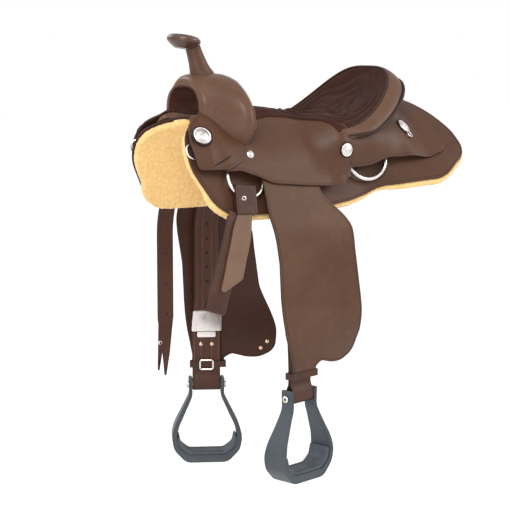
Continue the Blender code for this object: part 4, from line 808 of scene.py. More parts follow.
def make_swell():
    """Cover of the fork: a section whose width and depth change from station to station, front to rear."""
    count = 121
    xs = spline(STATIONS[:, :1], 40)[:, 0]
    arch = offset_section(GULLET, 0.0028)
    outer = [whole(swell_at(x), count) for x in xs]
    arch_front, arch_rear = [whole(footed(arch, x), count) for x in (xs[0], xs[-1])]
    turned_in = (0.0, 0.35, 0.7, 0.88)
    sections = [(xs[0] - 0.0004, arch_front + (outer[0] - arch_front) * share) for share in turned_in]
    sections += zip(xs, outer)
    sections += [(xs[-1] + 0.0004, arch_rear + (outer[-1] - arch_rear) * share) for share in turned_in[::-1]]
    rows = np.array([np.column_stack([np.full(count, x), section]) for x, section in sections])
    for _ in range(3):
        rows[1:-1] = rows[1:-1] * 0.5 + (rows[:-2] + rows[2:]) * 0.25
    laid(grid("swell_leather", MAT["cover"], rows), "saddle", "swell_cover")
    sew_swell(count)
    make_gullet()


def sew_swell(count):
    """Two rows of thread round the rear edge of the cover."""
    lines, ends = [], slice(14, -14)
    for back in (0.0065, 0.0125):
        x = STATIONS[-1, 0] - back
        section = whole(swell_at(x), count)
        points = np.column_stack([np.full(count, x), section])[ends]
        normal = np.zeros_like(points)
        step = np.gradient(section, axis=0)[ends]
        normal[:, 1], normal[:, 2] = -step[:, 1], step[:, 0]
        normal *= np.sign((normal * (points - (0, 0, 0.05))).sum(1))[:, None]
        normal /= np.linalg.norm(normal, axis=1)[:, None]
        lines.append((points + normal * 0.0004, normal))
    stitches("swell_seam", MAT["pale thread"], "saddle", lines, 0.0040, 0.0028)


def make_gullet():
    """Lining of the gullet: one sheet inside the arch, turned over the front and the rear edge."""
    ring, count = [], 81
    for x, share in (
            (-0.2478, 0.3), (-0.2485, 0.5), (-0.2478, 0.95), (-0.245, 1.0), (-0.204, 1.0), (-0.163, 1.0),
            (-0.1605, 0.95), (-0.1598, 0.5), (-0.1605, 0.3)):
        inner = whole(footed(GULLET, x), count)
        outer = whole(footed(offset_section(GULLET, 0.0025), x), count)
        ring.append(np.column_stack([np.full(count, x), outer + (inner - outer) * share]))
    ring.append(ring[0])
    laid(grid("gullet_leather", MAT["gullet"], ring), "saddle", "gullet_lining")


make_swell()
LEAN, TILT = radians(20.0), radians(10.0)
HORN = frame_at((-0.2065, 0.0, 0.134), (-sin(LEAN), 0.0, cos(LEAN)))
CAP = frame_at((-0.2455, 0.0, 0.2015), (sin(TILT), 0.0, cos(TILT)))


def make_horn():
    """The wrapped post, the cap on it and the thread round the cap."""
    profile = spline([
        (0.0150, 0.0600), (0.0150, 0.052), (0.0154, 0.044), (0.0162, 0.034), (0.0174, 0.024),
        (0.0190, 0.0140), (0.0206, 0.0070), (0.0226, 0.0010), (0.0250, -0.0050), (0.0262, -0.0140)], 110)

    def seam_ridge(r, z, a):
        """Overlap of the wrap: 0.5 mm higher to one side of a line, easing back round the post."""
        turned_by = (a / (2 * pi) + 0.02) % 1.0
        return r + 0.0005 * (1 - ease(turned_by / 0.9)) * ease((z + 0.004) / 0.006), z
    around = 96
    laid(turned("horn_wrapping", MAT["wrap"], profile, HORN, around, seam_ridge), "saddle", "horn_wrap")
    top = [(0.0, 0.0085), (0.006, 0.0084), (0.012, 0.0081), (0.018, 0.0075), (0.0225, 0.0066),
           (0.0265, 0.0052), (0.0295, 0.0036), (0.0315, 0.0022)]
    side = [(0.0328, 0.0006), (0.0334, -0.0016), (0.0334, -0.0040), (0.0326, -0.0062)]
    under = [(0.0308, -0.0084), (0.0278, -0.0112), (0.0242, -0.0140), (0.0196, -0.0168), (0.0150, -0.0190),
             (0.0, -0.0195)]
    profile = spline(top + side + under, 90)
    cap = turned("horn_cap_leather", MAT["cap"], profile, CAP, around)
    # Distance from the cap's rim, which places its painted highlight.
    rim_gap = np.repeat(np.hypot(profile[:, 0] - 0.0325, profile[:, 1] - 0.0012), around) * 1000
    cap.data.attributes["edge"].data.foreach_set("value", rim_gap.astype(np.float32))
    laid(cap, "saddle", "horn_cap")
    a, seam_radius = np.linspace(0, 2 * pi, 90), 0.0282
    ring = moved(np.stack([seam_radius * np.cos(a), seam_radius * np.sin(a), np.full(90, 0.0046)], -1), CAP)
    up = np.array(CAP)[:3, 2] + 0.3 * (ring - np.array(CAP)[:3, 3]) / 0.028
    stitches("cap_seam", MAT["thread"], "saddle", [(ring, up)], 0.0038, 0.0026)


make_horn()

# %% [markdown]
# ## Covering the sides
# The seat and front jockeys are cut away where they would pass through the fork.

# %%
def make_covers(name, side):
    """Fleece, skirt and the three jockeys of one side."""
    place = on_form(side)
    make_fleece(name, side)
    line = skirt_line()
    skirt = panel(f"skirt_leather_{name}", MAT["leather"], line, level(SKIRT_IN), level(SKIRT_OUT), place)
    laid(skirt, "saddle", f"skirt_{name}")
    seam(f"skirt_seam_{name}", line, 0.0052, place, level(SKIRT_OUT), "saddle", MAT["thread"],
         lambda x, s: s > 0.050)

    def under_fork(c):
        return inside_fork(*place(c[0], c[1], 0.036)) > 0.006
    for kind, corners, height, cell, drop in (
            ("seat", SEAT_JOCKEY, seat_height, 0.006, under_fork),
            ("rear", REAR_JOCKEY, rear_height, 0.007, None),
            ("front", FRONT_JOCKEY, front_height, 0.005, under_fork)):
        jockey = panel(f"{kind}_jockey_leather_{name}", MAT["seat"], outline(corners), height,
                       lambda x, s: height(x, s) + JOCKEY, place, cell, drop=drop)
        laid(jockey, "saddle", f"{kind}_jockey_{name}")


for name, side in SIDES.items():
    make_covers(name, side)

# %% [markdown]
# ## Seat and cantle
# The seat is a stuffed suede pad with quilted waves sewn into it. The cantle's roll runs round its rim.

# %%
# Rows in front hold x, half width and height on the centre line; the others hold crest angle and height.
FRONT_ROWS = np.array([
    (-0.152, 0.076, 0.0655), (-0.127, 0.071, 0.0655), (-0.088, 0.064, 0.0645), (-0.045, 0.068, 0.0600),
    (-0.020, 0.079, 0.0565), (-0.005, 0.090, 0.0545), (0.008, 0.106, 0.0525), (0.018, 0.128, 0.0515)])
CREST_CENTRES = np.array([
    (90, 0.0510), (85, 0.0500), (80, 0.0495), (70, 0.0510), (60, 0.0580), (50, 0.0690), (40, 0.0840),
    (30, 0.1010), (20, 0.1190), (12, 0.1310), (5, 0.1405), (0, 0.1430)])


def crest(angle, grow=0.0):
    """Crest of the cantle: x by the cosine, y by the sine to 0.6, z by the cosine to 1.9."""
    a = np.radians(angle)
    y = (0.148 + grow) * np.abs(np.sin(a)) ** 0.6 * np.sign(np.sin(a))
    return np.stack([0.024 + (0.194 + grow) * np.cos(a), y, 0.020 + 0.123 * np.abs(np.cos(a)) ** 1.9], -1)


def rim(angle):
    """Outer edge of the roll, drawn in to the crest at both points."""
    a = np.radians(angle)
    far = np.stack([0.054 + 0.1975 * np.cos(a), 0.168 * np.abs(np.sin(a)) ** 0.6 * np.sign(np.sin(a)),
                    0.0035 + 0.120 * np.abs(np.cos(a)) ** 1.59], -1)
    near = crest(angle)
    return near + (far - near) * (0.44 + 0.56 * ease((90.0 - np.abs(angle)) / 18.0))[..., None]


WAVED_RINGS = (
    lambda a: 0.22 + 0.05 * np.cos(3 * a), lambda a: 0.44 + 0.10 * np.cos(5 * a + 0.6),
    lambda a: 0.64 + 0.10 * np.cos(5 * a + 0.9), lambda a: 0.84 + 0.07 * np.cos(7 * a + 0.4),
    lambda a: 1.02 + 0.04 * np.cos(7 * a))
DISH_MIDDLE, DISH_REACH = (0.080, 0.0), (0.128, 0.118)


def wave_lines(x, y):
    """Distance in metres to the nearest quilting line: waved rings about the middle of the dish."""
    u, v = (x - DISH_MIDDLE[0]) / DISH_REACH[0], (y - DISH_MIDDLE[1]) / DISH_REACH[1]
    r, a = np.hypot(u, v), np.arctan2(v, u)
    found = []
    for radius in WAVED_RINGS:
        slope = (radius(a + 0.01) - radius(a - 0.01)) / 0.02 / np.maximum(r, 0.1)
        found.append(np.abs(r - radius(a)) * 0.123 / np.hypot(1.0, slope))
    return np.minimum.reduce(found)


def upper_points(x, y, z, i, k, px, py):
    """Points on the seat's top at (px, py), by the slopes of the nearest mesh cell."""
    along = (px - x[i, k]) / (x[i, k] - x[i - 1, k])
    across = (py - y[i, k]) / (y[i, k + 1] - y[i, k])
    height = z[i, k] + (z[i, k] - z[i - 1, k]) * np.clip(along, -1, 1)
    height = height + (z[i, k + 1] - z[i, k]) * np.clip(across, -1, 1)
    return np.stack([px, py, height + 0.0002], -1)


def seat_table():
    """Rows from nose to cantle: x, half width, height on the centre line and height at the edge."""
    edge_height = jockey_top(FRONT_ROWS[:, 0], FRONT_ROWS[:, 1], seat_height)[0] + 0.0045
    front = spline(np.column_stack([FRONT_ROWS, edge_height]), 90)
    angles = np.concatenate([np.linspace(89.5, 20, 110), np.linspace(19.2, 0.6, 34)])
    top = crest(angles)
    centre = np.interp(-angles, -CREST_CENTRES[:, 0], CREST_CENTRES[:, 1])
    for _ in range(12):
        centre[1:-1] = centre[1:-1] * 0.5 + (centre[:-2] + centre[2:]) * 0.25
    return np.vstack([front, np.column_stack([top[:, 0], top[:, 1], centre, top[:, 2]])])


def soft_max(low, high, blend):
    """The higher of two heights, rounded where they meet: the logarithm of the summed exponentials."""
    return np.logaddexp(low / blend, high / blend) * blend


def over_leather(x, y, z):
    """Seat height kept above the bars' cover, and above the jockeys where it laps over their inner edges."""
    bar_top, bar_down = jockey_top(x, y, lambda u, v: cover_height(u) - JOCKEY + 0.0022)
    on_bar = ease((bar_down - 0.012) / 0.014) * ease((x + 0.150) / 0.020)
    z = soft_max(z, bar_top - 0.03 * (1 - on_bar), 0.0012)
    seat_top, seat_down = jockey_top(x, y, seat_height)
    rear_top, rear_down = jockey_top(x, y, rear_height)
    inner_edge = np.interp(x, (-0.040, 0.006, 0.030, 0.052), (0.034, 0.058, 0.080, 0.090))
    lap = 0.0018 - 0.0120 * (1 - ease((seat_down - inner_edge) / 0.010))
    cover = np.where((seat_down > 0.030) & (x < 0.056), seat_top + lap, -1.0)
    on_rear = (rear_down > 0.088 - 0.5 * (x - 0.046)) & (x > 0.044) & (x < 0.100)
    cover = np.where(on_rear, rear_top + 0.0022, cover)
    return soft_max(z, cover, 0.0008)


SEAT_THICK, SEAT_ROLL = 0.012, 0.006
GROOVE_DEEP, GROOVE_HALF, PUFF_HIGH, PUFF_REACH = 0.0016, 0.0022, 0.0028, 0.013


def make_seat():
    """Padded seat: across each row the height rises from centre to edge with the 2.4th power of the share."""
    table, count = seat_table(), 161
    share = np.sin(np.linspace(-pi / 2, pi / 2, count)) * 0.6 + np.linspace(-1, 1, count) * 0.4
    x = table[:, :1] + np.zeros(count)
    y = table[:, 1:2] * share
    z = table[:, 2:3] + (table[:, 3:4] - table[:, 2:3]) * np.abs(share) ** 2.4
    z = over_leather(x, y, z)
    to_edge, to_line = (1 - np.abs(share)) * table[:, 1:2], wave_lines(x, y)
    inside = ease((to_edge - 0.006) / 0.012) * ease((x + 0.120) / 0.030)
    groove_and_shade = np.exp(-(to_line / GROOVE_HALF) ** 2) * inside
    z = z - GROOVE_DEEP * groove_and_shade + PUFF_HIGH * (ease(to_line / PUFF_REACH) * inside)
    round_share = np.sqrt(np.maximum(1 - (1 - np.minimum(to_edge / SEAT_ROLL, 1.0)) ** 2, 0.0))
    z = z - 0.0030 * (1 - round_share) * ease((0.016 - x) / 0.020)
    z = z - 0.0040 * (1 - ease((x + 0.152) / 0.007))
    seat_top, seat_down = jockey_top(x, y, seat_height)
    floor = np.where(seat_down > 0.036, seat_top + 0.0004, -1.0)
    bottom = np.maximum(z - SEAT_THICK, np.minimum(floor, z - 0.0006))
    upper, under = np.stack([x, y, z], -1), np.stack([x, y, bottom], -1)
    mesh = grid("seat_suede", MAT["suede"], np.concatenate([upper, under[:, ::-1]], 1), True, True, smooth=50)
    # The groove profile also goes to the suede as the mask of its painted shade.
    write_values(mesh.data, "groove_and_shade", np.concatenate([groove_and_shade, np.zeros_like(groove_and_shade)], 1))
    laid(mesh, "saddle", "seat_pad")
    sew_quilting(x, y, z, table, share)
    ring = crest(np.linspace(-88.5, 88.5, 260)) + (0, 0, 0.0004)
    laid(tube("seat_piping", MAT["piping"], ring, 0.0019, sides=10), "saddle")


def sew_quilting(x, y, z, table, share):
    """Thread along each quilting line, in runs that stay 10 mm off the seat's edge."""
    lines, a = [], np.linspace(0, 2 * pi, 1200)
    for radius in WAVED_RINGS:
        px = DISH_MIDDLE[0] + DISH_REACH[0] * radius(a) * np.cos(a)
        py = DISH_MIDDLE[1] + DISH_REACH[1] * radius(a) * np.sin(a)
        i = np.clip(np.searchsorted(table[:, 0], px), 1, len(table) - 1)
        half = table[i, 1]
        k = np.clip(np.searchsorted(share, np.clip(py / half, -1, 1)), 1, len(share) - 2)
        point = upper_points(x, y, z, i, k, px, py)
        slope = np.stack([-(z[i, k] - z[i - 1, k]) / (x[i, k] - x[i - 1, k]),
                          -(z[i, k + 1] - z[i, k - 1]) / (y[i, k + 1] - y[i, k - 1]), np.ones(len(a))], -1)
        sewn = (half - np.abs(py) > 0.010) & (px > -0.110) & (px < 0.208)
        for run in np.split(np.arange(len(a)), np.where(~sewn)[0]):
            run = run[sewn[run]]
            if len(run) > 8:
                lines.append((point[run], slope[run]))
    stitches("quilting", MAT["thread"], "saddle", lines, 0.0044, 0.0030, 0.0006)


make_seat()


def make_cantle():
    """Roll and back of the cantle: at each angle a section from the crest over the roll to the jockeys."""
    angles = np.linspace(-88.0, 88.0, 241)
    rows, edge_line = [], []
    for angle in angles:
        inner, outer = crest(angle, 0.0005), rim(angle)
        out = outer - inner
        width = np.linalg.norm(out)
        out = np.array([out[0], out[1], 0.0]) / np.linalg.norm(out[:2])
        up = np.array([0.0, 0.0, 1.0])
        wall = inner + out * 0.005
        near_rim = outer - out * 0.0040
        middle = (inner + outer) / 2 + up * 0.0044
        under_rim = near_rim - up * 0.007 - out * 0.002
        foot = np.array([wall[0], wall[1], inner[2] - 0.024])
        part = ease((width - 0.020) / 0.010)
        hollow = ((foot + under_rim) / 2) * (1 - part) + ((wall + under_rim) / 2 - up * 0.006) * part
        height = rear_height if wall[0] > 0.046 else seat_height
        base = jockey_top(wall[0], wall[1], height)[0] + 0.0003
        base = min(float(base), foot[2] - 0.003)
        low = np.array([wall[0], wall[1], base])
        face = spline([
            inner - up * 0.0010, inner + (middle - inner) * 0.35 + up * 0.0022, middle,
            middle + (near_rim - middle) * 0.6 + up * 0.0016, near_rim,
            near_rim - up * 0.0040 + out * 0.0004, under_rim, hollow, foot, (foot + low) / 2, low], 61)
        rows.append(np.vstack([face, [inner[0], inner[1], base]]))
        edge_line.append(outer - up * 0.0031)
    rows = np.array(rows)
    laid(grid("cantle_leather", MAT["cover"], rows, True, True, smooth=40), "saddle", "cantle_back")
    edge_line = np.array(edge_line)
    thin = 0.0012 + 0.0020 * ease((88.0 - np.abs(angles)) / 8.0)
    laid(tube("cantle_edge_binding", MAT["piping"], edge_line, thin, sides=14), "saddle", "cantle_binding")
    inner_row, middle_row = rows[:, 20], rows[:, 28]
    normal = np.cross(np.gradient(inner_row, axis=0), middle_row - inner_row)
    normal *= np.sign(normal[:, 2])[:, None]
    stitches("roll_seam", MAT["thread"], "saddle", [(rows[6:-6, 24], normal[6:-6])], 0.0044, 0.0030)


make_cantle()

# %% [markdown]
# ## Fenders and stirrup leathers
# Each fender hangs outside a doubled strap that loops over the tree and round the stirrup's bolt sleeve.

# %%
def on_hang(name):
    """Where (x, t, w) lies on one side's hang."""
    return lambda x, t, w: hang(x, t, w, name)


def fender_line(drop):
    """Outline of a fender: a narrow top, then a wide foot with a tab, lowered by drop below the top."""
    rows = [(-0.157, 0.152, 0.005), (-0.157, 0.226, 0.060), (-0.141, 0.316, 0.080), (-0.137, 0.390, 0.120),
            (-0.126, 0.470, 0.060), (-0.116, 0.525, 0.010), (-0.118, 0.550, 0.003), (-0.047, 0.550, 0.003),
            (-0.047, 0.531, 0.006), (-0.030, 0.522, 0.012), (0.000, 0.530, 0.040), (0.030, 0.532, 0.060),
            (0.064, 0.515, 0.030), (0.070, 0.470, 0.050), (0.062, 0.400, 0.100), (0.046, 0.300, 0.080),
            (0.041, 0.260, 0.030), (0.020, 0.235, 0.040), (-0.018, 0.200, 0.040), (-0.030, 0.152, 0.005)]
    return outline([(x, t + (drop if t > 0.152 else 0.0), r) for x, t, r in rows])


def band(name, mat, path, x0, x1, thick, place):
    """Strap swept along a path of (t, w); its section is a slab with rounded edges, from x0 to x1."""
    half = thick / 2
    across = [(x0 + half * (1 - cos(a)), half * sin(a)) for a in np.linspace(0, pi / 2, 5)]
    across += [(x, half) for x in np.linspace(x0 + half, x1 - half, 14)[1:-1]]
    across += [(x1 - half * (1 - cos(a)), half * sin(a)) for a in np.linspace(pi / 2, 0, 5)]
    across += [(x, -w) for x, w in across[-2:0:-1]]
    path = np.asarray(path, float)
    along = np.gradient(path, axis=0)
    along /= np.linalg.norm(along, axis=1)[:, None]
    normal = np.stack([-along[:, 1], along[:, 0]], -1)
    rows = [[place(x, p[0] + n[0] * w, p[1] + n[1] * w) for x, w in across] for p, n in zip(path, normal)]
    edge = np.array([[min(x - x0, x1 - x) for x, w in across]] * len(path))
    return grid(name, mat, rows, True, True, edge.ravel(), smooth=40)


def disc(name, mat, body, point, normal, profile, steps=32, along=(1.0, 0.0, 0.0)):
    """Small round piece turned about the normal at a point."""
    laid(turned(name, mat, profile, frame_at(point, normal, along), steps), body)


RIVET_RADIUS, RIVET_RISE = 0.0042, 0.0016
RIVET_HEAD = [(RIVET_RADIUS * across, RIVET_RISE * up)
              for across, up in ((0.0, 1.0), (0.4, 0.93), (0.72, 0.66), (0.92, 0.3))]
RIVET_HEAD += [(RIVET_RADIUS, -0.0004), (0.0, -0.0006)]
LACE_HOLES = (0.206, 0.238, 0.269, 0.299, 0.330, 0.360, 0.391)
PLATE_HALF, PLATE_TOP, PLATE_FOOT = 0.0323, 0.4232, 0.4698
TONGUE_LEFT, TONGUE_RIGHT, TONGUE_TOP, TONGUE_FOOT = -0.106, -0.066, 0.4708, 0.4830


def rectangle(left, right, top, foot, corner, tip, pitch):
    """Outline of an upright oblong, with one corner radius above and one below."""
    return outline([(left, top, corner), (left, foot, tip), (right, foot, tip), (right, top, corner)], pitch)


def make_leathers(name, side):
    """Fender, doubled leather and their fittings on one side."""
    drop, body, place = DROP[name], f"leathers_{name}", on_hang(name)
    line = fender_line(drop)
    fender = panel(f"fender_leather_{name}", MAT["fender"], line, lambda x, t: FENDER_IN + slack(t),
                   lambda x, t: FENDER_OUT + slack(t), place, 0.009)
    # Faces turned inward take the flesh side leather, darkened partly as painted shade.
    fender.data.materials.append(MAT["inner"])
    for face in fender.data.polygons:
        face.material_index = int(face.normal.y * side < 0.2)
    laid(fender, body, f"fender_{name}")
    seam(f"fender_seam_{name}", line, 0.0050, place, lambda x, t: FENDER_OUT + slack(t), body, MAT["thread"],
         lambda x, t: t > 0.190)
    make_doubled_leather(name, body, place, BOLT_DROP + drop)
    make_plate_buckle(name, body, place, drop)
    for kind, w, places in (
            ("leather", LEATHER_IN, ((LEATHER_X - 0.012, 0.4985), (LEATHER_X + 0.012, 0.4985))),
            ("fender", FENDER_IN + 0.0014, ((0.047, 0.497), (0.033, 0.511)))):
        for k, (x, t) in enumerate(places):
            at = place(x, t + drop, w)
            away = at - place(x, t + drop, w + 0.002)
            disc(f"{kind}_rivet_{name}_{k}", MAT["copper"], body, at, away, RIVET_HEAD)


def make_doubled_leather(name, body, place, bolt):
    """Strap down the inside, half round the bolt's sleeve and up again, with its holes and thread."""
    middle, half_thick, loop = (LEATHER_IN + LEATHER_OUT) / 2, 0.0022, 0.0103
    inner, outer = LEATHER_IN + half_thick, LEATHER_OUT - half_thick
    down = [(0.124, inner), (0.150, inner)] + [(t, inner) for t in np.arange(0.165, bolt - 0.031, 0.012)]
    down += [(bolt - 0.026, inner - 0.0006), (bolt - 0.018, inner - 0.0042),
             (bolt - 0.010, middle - loop + 0.0004)]
    turn = [(bolt + loop * sin(a), middle - loop * cos(a)) for a in np.linspace(0.15, pi - 0.15, 13)]
    up = [(t, outer + inner - w) for t, w in down[::-1]]
    path = spline(even(spline(down + turn + up, 500), 0.006), 220)
    left, right = LEATHER_X - LEATHER_HALF, LEATHER_X + LEATHER_HALF
    strap = band(f"doubled_leather_{name}", MAT["strap"], path, left, right, 0.0042, place)
    laid(strap, body, f"stirrup_leather_{name}")
    profile = [(0.0, 0.0003), (0.0022, 0.0003), (0.0030, 0.0006), (0.0036, 0.0002), (0.0037, -0.0004)]
    for k, t in enumerate(LACE_HOLES):
        run = t + DROP[name] * 0.2
        at = place(LEATHER_X, run, LEATHER_IN)
        away = place(LEATHER_X, run, LEATHER_IN - 0.002) - at
        # Each lace hole is a dark disc of painted shade.
        disc(f"leather_hole_{name}_{k}", MAT["hole"], body, at, away, profile, 24)
    lines = []
    for across in (-0.0262, -0.0115, 0.0115, 0.0262):
        t = np.arange(0.165, bolt - 0.036, 0.004)
        here = place(LEATHER_X + across, t, LEATHER_IN - 0.0002)
        lines.append((here, place(LEATHER_X + across, t, LEATHER_IN - 0.0020) - here))
    stitches(f"leather_seams_{name}", MAT["pale thread"], body, lines, 0.0040, 0.0028, 0.0005, 0.0)


def make_plate_buckle(name, body, place, drop):
    """Plate over both layers of the leather, three ribs on its face and the tongue below it."""
    line = rectangle(LEATHER_X - PLATE_HALF, LEATHER_X + PLATE_HALF, PLATE_TOP + drop, PLATE_FOOT + drop,
                     0.002, 0.002, 0.003)
    plate = panel(f"buckle_plate_{name}", MAT["steel"], line, level(LEATHER_IN - 0.0029),
                  level(LEATHER_OUT - 0.0016), place, 0.008, 0.0010)
    laid(plate, body, f"plate_buckle_{name}")
    for k, x in enumerate((-0.1150, -0.1110, -0.1070)):
        points = [place(x, t, LEATHER_IN - 0.0032) for t in np.linspace(0.4255, 0.4675, 12) + drop]
        laid(tube(f"buckle_rib_{name}_{k}", MAT["steel"], points, 0.0011, sides=10), body)
    line = rectangle(TONGUE_LEFT, TONGUE_RIGHT, TONGUE_TOP + drop, TONGUE_FOOT + drop, 0.001, 0.003, 0.002)
    tongue = panel(f"buckle_tongue_{name}", MAT["steel"], line, level(LEATHER_IN - 0.0026),
                   level(LEATHER_IN - 0.0008), place, 0.010, 0.0005)
    laid(tongue, body)


def make_stirrup(name):
    """Ridges along the stirrup's edges, dark discs of painted shade in the sockets at the ends of its bolt,
    and two ribs on the tread.
    """
    centre = hang(LEATHER_X, BOLT_DROP + DROP[name], (LEATHER_IN + LEATHER_OUT) / 2, name, False)
    turn = Matrix.Translation(Vector(centre)) @ Matrix.Rotation(radians(YAW[name]), 4, 'Z')
    outer = [(0.039, -0.017, 0.006), (0.0375, 0.020, 0.020), (0.056, 0.058, 0.050), (0.070, 0.086, 0.050),
             (0.0765, 0.112, 0.030), (0.072, 0.140, 0.030), (0.045, 0.168, 0.022)]
    inner = [(0.0308, -0.017, 0.003), (0.0308, 0.024, 0.020), (0.0475, 0.061, 0.050), (0.0605, 0.088, 0.040),
             (0.0660, 0.112, 0.020), (0.0610, 0.136, 0.016), (0.0400, 0.1515, 0.020)]
    corners = outer + [(-u, v, r) for u, v, r in outer[::-1]] + [(-u, v, r) for u, v, r in inner]
    line = outline(corners + inner[::-1], 0.0025)

    def face(u, v, d):
        """Points at d of the member's depth, which eases from 26 mm at the top to 52 mm at the tread."""
        depth = 0.026 + 0.026 * ease((v - 0.020) / 0.105)
        return moved(np.stack([u, d * depth, -np.asarray(v)], -1), turn)
    row = inward(line, 0.0018)
    for k, d in enumerate((-0.5, 0.5)):
        points = face(row[:, 0], row[:, 1], np.full(len(row), d))
        points = points + np.array(turn)[:3, 1] * (-0.0004 if d > 0 else 0.0004)
        ridge = tube(f"stirrup_ridge_{name}_{k}", MAT["composite"], points, 0.00125, True, 8)
        laid(ridge, f"stirrup_{name}")
    axis, socket = np.array(turn)[:3, 0], [(0.0, 0.0002), (0.0030, 0.0002), (0.0034, -0.0004)]
    for k, sign in enumerate((-1, 1)):
        tip = np.array(turn)[:3, 3] + axis * sign * 0.0434
        disc(f"bolt_socket_{name}_{k}", MAT["hole"], f"leathers_{name}", tip, axis * sign, socket, 6,
             (0.0, 0.0, 1.0))
    for k, d in enumerate((-0.34, 0.34)):
        points = face(np.linspace(-0.040, 0.040, 40), np.full(40, 0.1451), np.full(40, d))
        laid(tube(f"tread_rib_{name}_{k}", MAT["rubber"], points, 0.0008, sides=8), f"stirrup_{name}")


for name, side in SIDES.items():
    make_leathers(name, side)
    make_stirrup(name)

# %% [markdown]
# ## Rigging
# Plated rings and dees, the wrapped latigo with its hanging loop and end, and the billet on the off side.

# %%
RING_X, RING_DOWN, RING_OUT = -0.190, 0.152, 0.0273
RING_RADIUS, RING_WIRE = 0.0405, 0.0032
DEE_FRONT, DEE_REAR, DEE_DOWN, DEE_RADIUS, DEE_REACH, DEE_WIRE = 0.0665, 0.1565, 0.140, 0.0450, 0.040, 0.0040
BREAST_RADIUS, BREAST_WIRE = 0.0150, 0.0020


def ring_matrix(side):
    """Plane of the rigging ring, leaning 4 degrees less than the side form."""
    angle = radians(FORM_SLOPE - 4.0)
    return frame_at(form(RING_X, RING_DOWN, RING_OUT, side), (0.0, side * sin(angle), cos(angle)))


def circle_points(matrix, radius, count=96):
    """Even points round a circle in the matrix's own plane."""
    a = np.arange(count) * 2 * pi / count
    return moved(np.stack([radius * np.cos(a), radius * np.sin(a), np.zeros(count)], -1), matrix)


def leaning(angle):
    """Place on the near side's straight hang, turned about the rigging ring's axis."""
    ring = ring_matrix(SIDES["near"])
    matrix = np.array(ring @ Matrix.Rotation(-radians(angle), 4, 'Z') @ ring.inverted())
    return lambda x, t, w: moved(hang(x, t, w, "near", False), matrix)


EYELET_X, EYELET_DOWN = -0.2035, 0.196
LOOP_LEFT, LOOP_RIGHT, LOOP_THICK = -0.218, -0.174, 0.0034


def make_latigo():
    """The wrap on the ring with its eyelet, the hanging loop, and the end that lies over the loop."""
    place = leaning(7.0)
    line = outline([(-0.2200, 0.1680, 0.003), (-0.2200, 0.230, 0.004), (-0.1720, 0.226, 0.004),
                    (-0.1720, 0.1680, 0.003)])
    wrap = panel("latigo_wrapping", MAT["latigo"], line, level(0.0226), level(0.0376), place, 0.005, 0.0034)
    laid(wrap, "latigo", "latigo_wrap")
    at = place(EYELET_X, EYELET_DOWN, 0.0378)
    away = place(EYELET_X, EYELET_DOWN, 0.0398) - at
    eyelet = [(0.0022, -0.0004), (0.0022, 0.0010), (0.0032, 0.0014), (0.0046, 0.0010), (0.0052, -0.0002)]
    disc("latigo_eyelet", MAT["steel"], "latigo", at, away, eyelet)
    # The eye inside the eyelet is a dark disc of painted shade.
    disc("latigo_eye", MAT["hole"], "latigo", at, away, [(0.0, 0.0003), (0.0024, 0.0003)], 24)
    high, low = 0.0296, 0.0252
    down = [(t, high + 0.0004) for t in np.arange(0.2285, 0.388, 0.010)] + [(0.396, 0.0316), (0.405, 0.0328)]
    turn = [(0.4100 + 0.0058 * sin(a), 0.0275 + 0.0056 * cos(a)) for a in np.linspace(0.2, pi - 0.2, 11)]
    up = [(0.405, 0.0222), (0.396, 0.0232)] + [(t, low) for t in np.arange(0.388, 0.2285, -0.010)]
    path = spline(even(spline(down + turn + up, 400), 0.004), 160)
    loop = band("latigo_loop", MAT["latigo"], path, LOOP_LEFT, LOOP_RIGHT, LOOP_THICK, leaning(20.0))
    laid(loop, "latigo", "latigo")
    line = outline([
        (-0.203, 0.2120, 0.002), (-0.2080, 0.2340, 0.010), (-0.217, 0.2600, 0.060), (-0.217, 0.3720, 0.006),
        (-0.2080, 0.3740, 0.004), (-0.175, 0.3420, 0.004), (-0.175, 0.2120, 0.002)])

    def underside(x, t):
        """Faint wave along the end: 0.6 mm times the sine of 90 radians a metre."""
        return 0.0322 + 0.0006 * np.sin(90.0 * (t - 0.25))

    def upper(x, t):
        return underside(x, t) + 0.0036
    end = panel("latigo_tail", MAT["pale"], line, underside, upper, leaning(15.0), 0.006, 0.0012)
    laid(end, "latigo", "latigo_end")


